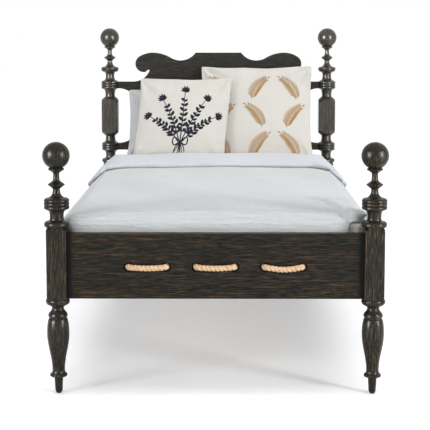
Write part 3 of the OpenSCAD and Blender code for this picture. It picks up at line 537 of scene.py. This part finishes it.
long_ends = [Vector((x, POST_Y + KNOT_FACE, ROPE_Z)) for x in (end_holes[0], end_holes[-1])]
cross_ends = [Vector((-POST_X - KNOT_FACE, y, ROPE_Z)) for y in (side_holes[0], side_holes[-1])]
for name, places, out in (
    ("lengthwise_rope_knots", long_ends, Vector((0, 1, 0))),
    ("crosswise_rope_knots", cross_ends, Vector((-1, 0, 0))),
):
    knots = joined(name + "_tied", [part for at in places for part in wall_knot(at, out)])
    covered(knots, straw)
    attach(knots, "frame")
    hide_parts(name)

# ---- Mattress --------------------------------------------------------------
# A foam and spring mattress in beige woven ticking. Its border is stitched in rows
# and a piped welt runs round its top and bottom edges. It lies on the ropes.

EDGE_R, BORDER, ROW_PITCH, CUT = 0.026, 0.073, 0.0365, 0.06
WELT_R, WELT_IN, WELT_DOWN = 0.0044, 0.0052, 0.0072


def clamp(share, most=1.0):
    return max(0.0, min(most, share))


def ripple(*at):
    """Smooth noise round 0."""
    return noise.noise(Vector(at))


def applied(piece, kind, **settings):
    """Adds a modifier to the piece and applies it."""
    alone(piece)
    bpy.ops.object.modifier_add(type=kind)
    change = piece.modifiers[-1]
    for key, value in settings.items():
        setattr(change, key, value)
    bpy.ops.object.modifier_apply(modifier=change.name)


def woven_cloth(name, colour, second, pitch, slub=0.5, mottle=0.06):
    """Plain-woven cloth: threads both ways, thicker slubs here and there, soft mottling."""
    finish, tree, shader = new_finish(name)
    facing = put(tree, "ShaderNodeNewGeometry").outputs["Normal"]
    up = put(tree, "ShaderNodeSeparateXYZ", {0: facing}).outputs["Z"]
    flat = ramp(tree, maths(tree, "ABSOLUTE", up), ((0.55, 0), (0.75, 1)))
    ways = ((0.05, 1, 1), (1, 0.05, 1), (1, 1, 0.05))
    across, along, upright = (specks(tree, 0.85 / pitch, 1, way, 0.4) for way in ways)
    threads = maths(tree, "ADD", across, blended(tree, flat, upright, along))
    threads = times(tree, threads, 0.5)
    slubs = specks(tree, 190, 3, (0.12, 1, 1))
    thick = times(tree, ramp(tree, slubs, ((0.50, 0), (0.70, slub))), 0.5)
    tone = blended(tree, ramp(tree, threads, ((0.40, 0), (0.58, 1))), second, colour)
    tone = blended(tree, thick, tone, second)
    dim = [c * (1 - 2.2 * mottle) for c in colour]
    cloud = ramp(tree, specks(tree, 9, 4), ((0.40, 0), (0.66, 0.55)))
    relief = maths(tree, "ADD", threads, times(tree, slubs, 0.8))
    bump = {"Strength": 0.35, "Distance": 0.0006, "Height": relief}
    feed(tree, shader, {
        "Base Color": blended(tree, cloud, tone, dim),
        "Roughness": 0.86,
        "Specular IOR Level": 0.3,
        "Sheen Weight": 0.3,
        "Sheen Roughness": 0.45,
        "Normal": put(tree, "ShaderNodeBump", bump, name="weave").outputs[0],
    })
    return finish


low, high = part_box("mattress")
size = high - low
bpy.ops.object.select_all(action="DESELECT")
bpy.ops.mesh.primitive_cube_add(size=1, location=(low + high) / 2, scale=size)
mattress = bpy.context.object
mattress.name = "mattress_sewn"
bpy.ops.object.transform_apply(location=True, rotation=True, scale=True)
cuts = [((k * CUT, 0, 0), (1, 0, 0)) for k in range(-7, 8)]
cuts += [((0, k * CUT, 0), (0, 1, 0)) for k in range(-15, 16)]
cuts += [((0, 0, low.z + EDGE_R + part * BORDER), (0, 0, 1)) for part in (0.25, 0.5, 0.75)]
bpy.ops.object.mode_set(mode="EDIT")
bpy.ops.mesh.select_all(action="SELECT")
bpy.ops.mesh.bevel(offset=EDGE_R, segments=6, profile=0.5, affect="EDGES")
for point, normal in cuts:
    bpy.ops.mesh.select_all(action="SELECT")
    bpy.ops.mesh.bisect(plane_co=point, plane_no=normal)
bpy.ops.object.mode_set(mode="OBJECT")
applied(mattress, "SUBSURF", levels=1, render_levels=1)
mid = (low.z + high.z) / 2
for v in mattress.data.vertices:
    # The rows of stitching draw the border in, and the foam is never quite flat.
    at = v.co.copy()
    up = max(0.0, 1 - ((at.z - mid) / 0.05) ** 2)
    rows = 0.5 + 0.5 * math.cos((at.z - mid) / ROW_PITCH * math.tau)
    dent = 0.0015 * (1 - up) + 0.0022 * (1 - rows) * (up > 0)
    dent += 0.0012 * (1 + ripple(*(at * 14)))
    if abs(at.x) > size.x / 2 - 0.02:
        v.co.x -= math.copysign(dent, at.x)
    if abs(at.y) > size.y / 2 - 0.02:
        v.co.y -= math.copysign(dent, at.y)
    # The foot corner on the right, which the coverlet leaves bare, bulges a little.
    bare = clamp((at.x - 0.40) / 0.03) * clamp((-0.90 - at.y) / 0.05)
    v.co += Vector((0.0105, -0.011, 0)) * bare * clamp((high.z - 0.004 - at.z) / 0.02)
bpy.ops.object.shade_smooth()
pieces = [mattress]
for height in (high.z - WELT_DOWN, low.z + WELT_DOWN):
    path = []
    for cx, cy, start in ((1, 1, 0), (-1, 1, 90), (-1, -1, 180), (1, -1, 270)):
        for k in range(7):
            a = math.radians(start + 15 * k)
            x = cx * (size.x / 2 - EDGE_R) + (EDGE_R - WELT_IN) * math.cos(a)
            y = cy * (size.y / 2 - EDGE_R) + (EDGE_R - WELT_IN) * math.sin(a)
            path.append(Vector((x, y, height)))
    pieces.append(strand_curve("mattress_welt", path, WELT_R, True))
mattress = joined("mattress_sewn", pieces)
covered(mattress, woven_cloth("beige_ticking", (0.92, 0.86, 0.79), (0.78, 0.71, 0.63), 0.0011))
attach(mattress, "bedding")
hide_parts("mattress")

# ---- Coverlet --------------------------------------------------------------
# A washed linen coverlet, lightly padded. It turns down over the mattress, swells
# over the side rails, and its edges are tucked between the mattress and the rails.

TOP_Z = high.z
RAIL_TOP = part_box("foot_rail")[1].z
FOOT_Y, COVER_END = -0.976, 0.6645
COVER_HALF, CROWN, LOFT, HEAD_LOFT = 0.462, 0.006, 0.014, 0.020
BED_WIDTH = 0.965
SIDE_IN, FOOT_OUT = 0.0337, 0.045
SLIPPED_HEM = RAIL_TOP + 0.075


def cover_height(x, y, more=0.0):
    """How high the coverlet lies at x, y on top of the bed."""
    u, v = x / BED_WIDTH, y / BED_WIDTH
    along = (y - FOOT_Y) / (COVER_END - FOOT_Y)
    wave = math.sin(math.radians(870 * u + 340 * v)) + math.sin(math.radians(725 * v - 290 * u))
    return (
        TOP_Z + LOFT + HEAD_LOFT * min(1.0, along * 1.4) + more
        - CROWN * (2 * u) ** 2 + 0.003 * wave / 2
    )


def rounded_way(points, count):
    """Points count steps apart on a smooth run through the (out, height) points."""
    fine = eased(even_steps([Vector((a, 0, b)) for a, b in points], 0.002), 12)
    return [fine[round(k * (len(fine) - 1) / count)] for k in range(count + 1)]


def cover_grid(name, y0, y1, cells, skirt, foot=None, height=cover_height, gather=1.0):
    """A cloth over the bed: a top grid, then skirt points (out, height) down both
    sides, and foot points down the foot end. Corners are cut across, and gather
    makes the rows finer towards the foot."""
    nx, ny = cells
    n = len(skirt) - 1
    columns, rows = nx + 2 * n, ny + (n if foot else 0)
    bpy.ops.object.select_all(action="DESELECT")
    bpy.ops.mesh.primitive_grid_add(x_subdivisions=columns, y_subdivisions=rows, size=2)
    cloth = bpy.context.object
    cloth.name = name
    for v in cloth.data.vertices:
        a = round((v.co.x + 1) / 2 * columns) - n
        b = round((v.co.y + 1) / 2 * rows) - (rows - ny)
        dx, dy = max(-a, a - nx, 0), max(-b, 0)
        x = -COVER_HALF + 2 * COVER_HALF * min(max(a, 0), nx) / nx
        y = y0 + (y1 - y0) * (max(b, 0) / ny) ** gather
        ground = height(x, y)
        if not dx and not dy:
            v.co = (x, y, ground)
            continue
        k = max(dx, dy)
        t = dy / (dx + dy)
        down = skirt[k].lerp(foot[k], t) if foot else skirt[k]
        z = down.z + (ground - skirt[0].z) * max(0.0, 1 - k / (n * 0.4)) ** 2
        out = skirt[k].x * (1 - t) ** 0.75
        front = foot[k].x * t ** 0.75 if foot else 0
        v.co = (x + (-out if a < 0 else out), y - front, z)
    return cloth


def ruffled(cloth, frames, held, stiff, pressure=0.0):
    """Lets a cloth that is a little too large for its place settle into soft wrinkles.
    held gives how firmly each point stays, and how far it grows, from 0 to 1."""
    pins = cloth.vertex_groups.new(name="held")
    loose = cloth.vertex_groups.new(name="full")
    for v in cloth.data.vertices:
        firm, full = held(v.co)
        pins.add([v.index], firm, "REPLACE")
        loose.add([v.index], full, "REPLACE")
    alone(cloth)
    bpy.ops.object.modifier_add(type="CLOTH")
    sim = cloth.modifiers[-1]
    sim.point_cache.frame_start = 1
    sim.point_cache.frame_end = frames
    rules = sim.settings
    rules.quality = 4
    rules.mass = 0.25
    rules.effector_weights.gravity = 0
    rules.tension_stiffness = 12
    rules.compression_stiffness = 12
    rules.shear_stiffness = 6
    rules.bending_stiffness = stiff
    rules.air_damping = 2
    rules.vertex_group_mass = "held"
    rules.pin_stiffness = 1
    rules.vertex_group_shrink = "full"
    rules.shrink_min = 0
    rules.shrink_max = -0.05
    rules.use_pressure = pressure > 0
    rules.uniform_pressure_force = pressure
    sim.collision_settings.use_collision = False
    for k in range(1, frames + 1):
        scene.frame_set(k)
    bpy.ops.object.modifier_apply(modifier=sim.name)
    scene.frame_set(1)
    cloth.vertex_groups.clear()


def settled(cloth, frames, held, stiff, outward, pressure=0.0):
    """Ruffles a cloth, then brings each point back near its old place: to 4 mm inward
    or so far outward, and 6 mm along the old surface."""
    inward, along = 0.004, 0.006
    before = [(v.co.copy(), v.normal.copy()) for v in cloth.data.vertices]
    ruffled(cloth, frames, held, stiff, pressure)
    for v, (old, normal) in zip(cloth.data.vertices, before):
        move = v.co - old
        lift = move.dot(normal)
        slide = move - normal * lift
        if slide.length > along:
            slide *= along / slide.length
        reach = inward if lift < 0 else outward
        v.co = old + normal * (reach * math.tanh(lift / reach)) + slide


cover_side = rounded_way(
    [(0, TOP_Z + 0.008), (0.0210, TOP_Z + 0.002), (0.0400, TOP_Z - 0.009),
     (0.0550, TOP_Z - 0.024), (0.0558, RAIL_TOP + 0.016), (0.0470, RAIL_TOP + 0.0055),
     (SIDE_IN, RAIL_TOP - 0.001), (SIDE_IN, RAIL_TOP - 0.045)],
    16,
)
cover_foot = rounded_way(
    [(0, TOP_Z + 0.008), (0.0190, TOP_Z + 0.002), (0.0350, TOP_Z - 0.009),
     (0.0440, TOP_Z - 0.024), (0.0445, RAIL_TOP + 0.011), (FOOT_OUT - 0.001, RAIL_TOP - 0.004),
     (FOOT_OUT - 0.001, RAIL_TOP - 0.045)],
    16,
)
cover = cover_grid(
    "coverlet_quilt", FOOT_Y + FOOT_OUT, COVER_END, (112, 200), cover_side, cover_foot, gather=1.4
)
fold = ((0.295, -0.60), (0.362, -0.675), (0.402, -0.846), (0.430, -0.99))
fold = [Vector((x, y, 0)) for x, y in fold]
for v in cover.data.vertices:
    # The hem has slipped up at the right foot corner and bares the mattress there.
    slip = clamp((v.co.x - 0.424) / 0.014) * clamp((-0.90 - v.co.y) / 0.02)
    slip = slip * slip * (3 - 2 * slip) * 0.62
    if v.co.z < SLIPPED_HEM:
        v.co.z += (SLIPPED_HEM - v.co.z) * slip
    # Fine creases run across the foot of the bed, and shallow dimples all over.
    x, y, z = v.co
    near = clamp((-0.62 - y) / 0.3)
    above_rail = clamp((z - RAIL_TOP + 0.007) / 0.03)
    crease = ripple(x * 5.5, y * 34 + z * 46, 3.1) + 0.5 * ripple(x * 11, y * 70 + z * 95, 8.4)
    dimple = ripple(x * 7, y * 7, 1.7) + 0.5 * ripple(x * 17, y * 13, 5.2)
    v.co += Vector((0, -0.25, 1)) * above_rail * (0.0032 * near * crease + 0.0016 * dimple)
    # One long fold runs down to that corner, with a dip on one side of its ridge.
    spot = Vector((x, y, 0))
    off = 1.0
    for k, (a, b) in enumerate(zip(fold, fold[1:])):
        u = clamp((spot - a).dot(b - a) / (b - a).length_squared)
        gap = spot - a.lerp(b, u)
        if gap.length < abs(off):
            off = math.copysign(gap.length, (b - a).cross(gap).z)
            run = (k + u) / 3
    if abs(off) < 0.15:
        dip = 0.0050 * math.exp(-((off / 0.012) ** 2))
        ridge = 0.0045 * math.exp(-(((off - 0.030) / 0.020) ** 2))
        v.co.z += min(1.0, run * 4) * above_rail * (ridge - dip)


def cover_held(at):
    if at.z < RAIL_TOP - 0.004 or at.y > 0.60:
        return 1.0, 0.0
    return 0.12 + 0.5 * clamp((at.y - 0.15) / 0.3), 0.35 + 0.65 * clamp((-0.55 - at.y) / 0.35)


settled(cover, 14, cover_held, 0.15, 0.006)
applied(cover, "SOLIDIFY", thickness=0.007, offset=-1)
bpy.ops.object.shade_smooth()

linen = woven_cloth(
    "washed_linen", (0.508, 0.529, 0.533), (0.456, 0.475, 0.482), 0.0010, 0.7, 0.035
)
tree = linen.node_tree
pleats = specks(tree, 75, 5, (0.16, 1, 1), 0.62, 0.5)
foot_end = put(tree, "ShaderNodeSeparateXYZ", {0: own_axes(tree)}).outputs["Y"]
span = {"Value": foot_end, "From Min": -0.45, "From Max": -0.90, "To Min": 0.06}
pleats = times(tree, pleats, put(tree, "ShaderNodeMapRange", span).outputs["Result"])
rumple = times(tree, specks(tree, 26, 5, roughness=0.6), 0.13)
shape = maths(tree, "ADD", pleats, rumple)
creased = put(tree, "ShaderNodeBump", {"Strength": 0.9, "Distance": 0.012, "Height": shape})
feed(tree, tree.nodes["weave"], {"Normal": creased.outputs[0]})
covered(cover, linen)
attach(cover, "bedding")
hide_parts("coverlet")

# ---- Turned sheet ----------------------------------------------------------
# The white cotton top sheet, turned down over the coverlet in a full, soft band. Its
# folded edge waves a little and its ends droop over the sides of the bed.

SHEET_FRONT, SHEET_BACK = 0.203, COVER_END - 0.001
SHEET_THICK, SHEET_EDGE = 0.015, 0.0095


def filled(cloth, thick, fill):
    """Turns a grid into a closed pad, thick times fill(place) through and shut along
    its rim."""
    group = cloth.vertex_groups.new(name="fill")
    for v in cloth.data.vertices:
        group.add([v.index], clamp(fill(v.co)), "REPLACE")
    applied(cloth, "SOLIDIFY", thickness=thick, offset=0, vertex_group="fill")
    bpy.ops.object.mode_set(mode="EDIT")
    bpy.ops.mesh.select_all(action="SELECT")
    bpy.ops.mesh.remove_doubles(threshold=0.0003)
    bpy.ops.object.mode_set(mode="OBJECT")
    cloth.vertex_groups.clear()


def sheet_height(x, y):
    """Halfway up the band, which lies a little fuller here and there."""
    return cover_height(x, y, 0.0097) + 0.0022 * ripple(x * 5.0, y * 9.0, 4.2)


sheet_side = rounded_way(
    [(0, TOP_Z + 0.0180), (0.0225, TOP_Z + 0.0120), (0.0430, TOP_Z - 0.003),
     (0.0585, TOP_Z - 0.022), (0.0610, RAIL_TOP + 0.026), (0.0600, RAIL_TOP + 0.0115)],
    16,
)
sheet = cover_grid(
    "sheet_turned", SHEET_FRONT, SHEET_BACK, (112, 56), sheet_side, height=sheet_height
)


def sheet_fill(at):
    """Full inside, rounded to nothing at the edges."""
    inside = min(at.y - SHEET_FRONT, SHEET_BACK - at.y)
    if at.z < TOP_Z - 0.01:
        inside = min(inside, at.z - sheet_side[-1].z)
    d = clamp(inside / SHEET_EDGE)
    side = clamp((TOP_Z + 0.01 - at.z) / 0.04)
    return math.sqrt(1 - (1 - d) ** 2) * (0.94 + 0.06 * ripple(*(at * 16))) * (1 - 0.1 * side)


filled(sheet, SHEET_THICK, sheet_fill)
for v in sheet.data.vertices:
    x, y, z = v.co
    front = clamp((0.60 - y) / 0.35)
    droop = clamp((abs(x) - 0.385) / 0.105, 1.15)
    wave = ripple(x * 4.2, 0.7, 2.6) + 0.4 * ripple(x * 12, 0.7, 9.1)
    tucked = clamp((RAIL_TOP + 0.065 - z) / 0.045) ** 2
    v.co.y -= front * (0.017 * wave + 0.120 * droop ** 1.6 - 0.004 - 0.045 * tucked)


def sheet_held(at):
    hidden = clamp((at.y - 0.58) / 0.06)
    return 0.08 + 0.9 * hidden, 1 - hidden


settled(sheet, 12, sheet_held, 0.12, 0.005, 0.8)
bpy.ops.object.shade_smooth()
covered(sheet, woven_cloth(
    "white_cotton", (0.522, 0.545, 0.583), (0.486, 0.510, 0.552), 0.0007, 0.25, 0.03
))
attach(sheet, "bedding")
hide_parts("turned_sheet")

# ---- Pillows ---------------------------------------------------------------
# Three knife-edged pillows stand on the mattress and lean back one on the next: a
# plain white one against the headboard, then two cream cushions.

PINCH = 0.045
SINK, SQUASH = 0.020, 0.014
SEAT_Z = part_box("white_pillow")[0].z
WHITE_STANDS = {"height": 0.350, "lean": 12, "x": -0.1062, "y": 0.8952, "skew": 0.012}
RIGHT_STANDS = {"height": 0.490, "lean": 22, "x": 0.1780, "y": 0.7634, "skew": 0.0}
LEFT_STANDS = {"height": 0.440, "lean": 24, "x": -0.1481, "y": 0.6783, "skew": 0.040}


def pillow_lift(u, v):
    full = max(0.0, (1 - u * u) * (1 - v * v))
    return 0.45 * math.sqrt(full) + 0.55 * full


def stood(spot, height, lean, x, y, skew):
    """Where a point of an upright pillow ends as the pillow leans back in its place,
    with its foot slumped sideways by skew."""
    up = spot.z + height / 2
    slumped = Vector((spot.x - skew * (1 - up / height) ** 1.5, spot.y, up))
    return Matrix.Rotation(math.radians(-lean), 4, "X") @ slumped + Vector((x, y, SEAT_Z - SINK))


def pillow(name, width, thick, seed, stands):
    """A pillow stuffed by pressure, then leaned back and set on the mattress."""
    height = stands["height"]
    columns, rows = round(width / 0.009), round(height / 0.009)
    bpy.ops.object.select_all(action="DESELECT")
    bpy.ops.mesh.primitive_grid_add(x_subdivisions=columns, y_subdivisions=rows, size=2)
    made = bpy.context.object
    made.name = name
    shape = {}
    for v in made.data.vertices:
        u, w = (0.6 * math.sin(c * math.pi / 2) + 0.4 * c for c in v.co.xy)
        blunt = 1 - 0.018 * abs(u * w) ** 12
        across = width / 2 * u * (1 - PINCH * (1 - w * w)) * blunt
        v.co = (across, 0, height / 2 * w * (1 - PINCH * (1 - u * u)) * blunt)
        shape[round(v.co.x, 5), round(v.co.z, 5)] = (u, w)

    def place(at):
        return shape[round(at.x, 5), round(at.z, 5)]

    filled(made, thick, lambda at: 0.45 * pillow_lift(*place(at)))
    before = [v.co.copy() for v in made.data.vertices]

    def sewn(at):
        edge = 1 - max(abs(c) for c in place(at))
        return (0.9, 0.0) if edge < 0.01 else (0.03, 1.0)

    ruffled(made, 20, sewn, 0.2, 4.0)
    # The filling swells each side by most at the middle, and the cloth slides a little.
    for v, old in zip(made.data.vertices, before):
        u, w = place(old)
        slide = Vector((v.co.x - old.x, 0, v.co.z - old.z))
        if slide.length > 0:
            slide *= 0.007 * math.tanh(slide.length / 0.007) / slide.length
        plush = pillow_lift(u, w)
        most = thick / 2 * plush
        out = math.copysign(1.0, old.y)
        rise = most * math.tanh(abs(v.co.y) / max(most, 0.001) * 1.5)
        rise += 0.0080 * plush * ripple(old.x * 6, seed + out, old.z * 6)
        rise += 0.0030 * plush * ripple(old.x * 16, seed - out, old.z * 16)
        # Short pleats run in from the seams, and folds fan out of the corners.
        in_x, in_z = width / 2 * (1 - abs(u)), height / 2 * (1 - abs(w))
        beside_seam = min(1.0, 8 * plush)
        for edge, run in ((in_x, old.z), (in_z, old.x)):
            pull = edge / 0.020 * math.exp(1 - edge / 0.020)
            rise += 0.0065 * pull * beside_seam * ripple(run * 27, seed + out, edge * 9)
        reach = math.hypot(in_x, in_z) / 0.045
        fan = math.cos(9 * math.atan2(in_z, in_x) + seed + 2 * u)
        rise += 0.0055 * reach * math.exp(1 - reach) * fan * beside_seam
        rim = max(abs(u), abs(w)) ** 6
        slide.x += 0.005 * rim * ripple(old.x * 9, old.z * 9, seed)
        slide.z += 0.006 * rim * ripple(old.x * 9, old.z * 9, seed + 5)
        spot = old + slide
        spot.y = out * rise if most > 0 else 0.0
        at = stood(spot, **stands)
        # The foot of the pillow is squashed flat where it rests.
        d = (at.z - SEAT_Z) / SQUASH
        if d < 1:
            at.z = SEAT_Z + SQUASH * max(0.0, d + 1) ** 2 / 4
        v.co = at
    applied(made, "SUBSURF", levels=1, render_levels=1)
    bpy.ops.object.shade_smooth()
    return made


white_sham = pillow("white_pillow_sewn", 0.640, 0.090, 3.3, WHITE_STANDS)
right_cushion = pillow("right_cushion_sewn", 0.525, 0.112, 5.7, RIGHT_STANDS)
left_cushion = pillow("left_cushion_sewn", 0.430, 0.108, 8.2, LEFT_STANDS)

sham_cotton = woven_cloth(
    "plain_cotton", (0.600, 0.611, 0.627), (0.540, 0.551, 0.567), 0.0007, 0.25, 0.03
)
cream_linen = woven_cloth(
    "cream_linen", (0.590, 0.572, 0.532), (0.535, 0.515, 0.472), 0.0010, 0.6, 0.035
)
for piece, body, node, slot, cloth in (
    (white_sham, "white_pillow_body", "white_pillow", "pillow_cotton", sham_cotton),
    (right_cushion, "right_pillow_body", "right_pillow", "right_cushion_cloth", cream_linen),
    (left_cushion, "left_pillow_body", "left_pillow", "left_cushion_cloth", cream_linen),
):
    covered(piece, cloth)
    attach(piece, body)
    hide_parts(node)

# ---- Stitching -------------------------------------------------------------
# Satin stitch on the fronts of the two cushions: a dark posy tied with a bow on the
# left one, and rows of gold sprigs, leaning left and right by turns, on the other.

TIE = -0.105
RAISED = ((-1, -0.0002), (-0.6, 0.0009), (0, 0.0013), (0.6, 0.0009), (1, -0.0002))


def leaf(a, b, heading, length, width):
    """A pointed oval from (a, b), as points (across, up, half width)."""
    sin, cos = math.sin(math.radians(heading)), math.cos(math.radians(heading))
    stroke = []
    for t in (k / 8 for k in range(9)):
        bow = 0.10 * length * math.sin(math.pi * t)
        half = width / 2 * math.sin(math.pi * (0.04 + 0.93 * t)) ** 0.8
        stroke.append((a + sin * length * t + cos * bow, b + cos * length * t - sin * bow, half))
    return stroke


def stem(a, b, heading, length, bend, width, steps=20):
    """A stem that starts at (a, b) and turns by bend degrees on its way."""
    stroke = [(a, b, width / 2)]
    for k in range(steps):
        way = math.radians(heading + bend * (k + 0.5) / steps)
        a += math.sin(way) * length / steps
        b += math.cos(way) * length / steps
        stroke.append((a, b, width / 2 * (1 - 0.45 * (k + 1) / steps)))
    return stroke


def bow_loop(side, t):
    """A point of the bow's left or right loop, as t goes once round it."""
    up = TIE + 0.018 * math.sin(math.tau * t) + 0.006 * math.sin(math.pi * t)
    return side * 0.034 * math.sin(math.pi * t) ** 0.8, up, 0.0031


def posy():
    """Five leafy stems with a flower each, tied over their ends."""
    strokes = []
    stems = ((-36, 0.190), (-18, 0.225), (0, 0.245), (18, 0.225), (36, 0.190))
    petals = ((-66, 0.022), (-38, 0.029), (-12, 0.032), (12, 0.032), (38, 0.029), (66, 0.022))
    ends = ((-158, 0.060), (-173, 0.072), (173, 0.072), (158, 0.060), (180, 0.050))
    for k, (heading, length) in enumerate(stems):
        main = stem(0.004 * (k - 2), TIE, heading, length, heading * 0.75, 0.0062)
        strokes.append(main)
        for j in range(4, 18, 2):
            a, b, _ = main[j]
            along = heading * (1 + 0.75 * j / 20)
            side = 1 if (j // 2 + k) % 2 else -1
            reach = 0.036 - 0.0009 * j
            strokes.append(leaf(a, b, along + side * 46, reach, 0.0155))
            strokes.append(leaf(a, b, along - side * 52, reach * 0.78, 0.0125))
        a, b, _ = main[-1]
        strokes += [leaf(a, b, heading * 1.75 + spread, reach, 0.0118) for spread, reach in petals]
    for heading, length in ends:
        strokes.append(stem(0, TIE, heading, length, (180 - abs(heading)) * 0.5, 0.0058, 8))
    for side in (-1, 1):
        strokes.append([bow_loop(side, k / 16) for k in range(17)])
        strokes.append(stem(0, TIE, side * 128, 0.055, side * 50, 0.0066, 10))
    return strokes


def sprigs():
    """Three rows of three curved sprigs."""
    strokes = []
    for row in range(3):
        for column in range(3):
            lean = 24 if (row + column) % 2 else -24
            a, b = (column - 1) * 0.160, (1 - row) * 0.138 - 0.060
            main = stem(a - lean * 0.0010, b - 0.008, lean * 0.3, 0.132, lean * 2.2, 0.0040, 15)
            strokes.append(main)
            for j in range(1, 15):
                a, b, _ = main[j]
                along = lean * (0.3 + 2.2 * j / 15)
                reach = 0.037 - 0.0019 * abs(j - 5)
                strokes += [leaf(a, b, along + side, reach, 0.0056) for side in (-52, 52)]
            strokes.append(leaf(*main[-1][:2], lean * 2.5, 0.022, 0.0060))
    return strokes


def stitched(name, cushion, strokes, thread, stands):
    """Raised thread along each stroke, laid on the cushion's front."""
    mesh = cushion.data
    front = BVHTree.FromPolygons([v.co for v in mesh.vertices], [p.vertices for p in mesh.polygons])
    ahead = Matrix.Rotation(math.radians(-stands["lean"]), 3, "X") @ Vector((0, -1, 0))
    points, faces = [], []
    for stroke in strokes:
        start = len(points)
        for k, (a, b, half) in enumerate(stroke):
            a0, b0 = stroke[max(k - 1, 0)][:2]
            a1, b1 = stroke[min(k + 1, len(stroke) - 1)][:2]
            side = Vector((b1 - b0, a0 - a1)).normalized() * half
            for s, rise in RAISED:
                spot = stood(Vector((a + s * side.x, 0, b + s * side.y)), **stands)
                hit, normal, _, _ = front.ray_cast(spot + ahead * 0.2, -ahead)
                points.append(hit + normal * rise)
        for k in range(len(stroke) - 1):
            for s in range(4):
                i = start + 5 * k + s
                faces.append((i, i + 1, i + 6, i + 5))
    shape = bpy.data.meshes.new(name)
    shape.from_pydata(points, [], faces)
    made = bpy.data.objects.new(name, shape)
    scene.collection.objects.link(made)
    covered(made, thread)
    alone(made)
    bpy.ops.object.shade_smooth()
    return made


def thread_finish(name, colour, second):
    finish, tree, shader = new_finish(name)
    lines = specks(tree, 1300, 2, (1, 1, 0.35))
    tone = blended(tree, ramp(tree, lines, ((0.4, 0), (0.6, 1))), second, colour)
    ridge = put(tree, "ShaderNodeBump", {"Strength": 0.5, "Distance": 0.0004, "Height": lines})
    feed(tree, shader, {"Base Color": tone, "Roughness": 0.7, "Normal": ridge.outputs[0]})
    feed(tree, shader, {"Specular IOR Level": 0.12, "Sheen Weight": 0.06})
    return finish


ink = thread_finish("ink_thread", (0.014, 0.014, 0.026), (0.006, 0.006, 0.013))
gold = thread_finish("gold_thread", (0.40, 0.218, 0.052), (0.25, 0.125, 0.026))
posy_work = stitched("left_cushion_stitching", left_cushion, posy(), ink, LEFT_STANDS)
sprig_work = stitched("right_cushion_stitching", right_cushion, sprigs(), gold, RIGHT_STANDS)
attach(posy_work, "left_pillow_body")
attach(sprig_work, "right_pillow_body")

bpy.ops.object.select_all(action="DESELECT")
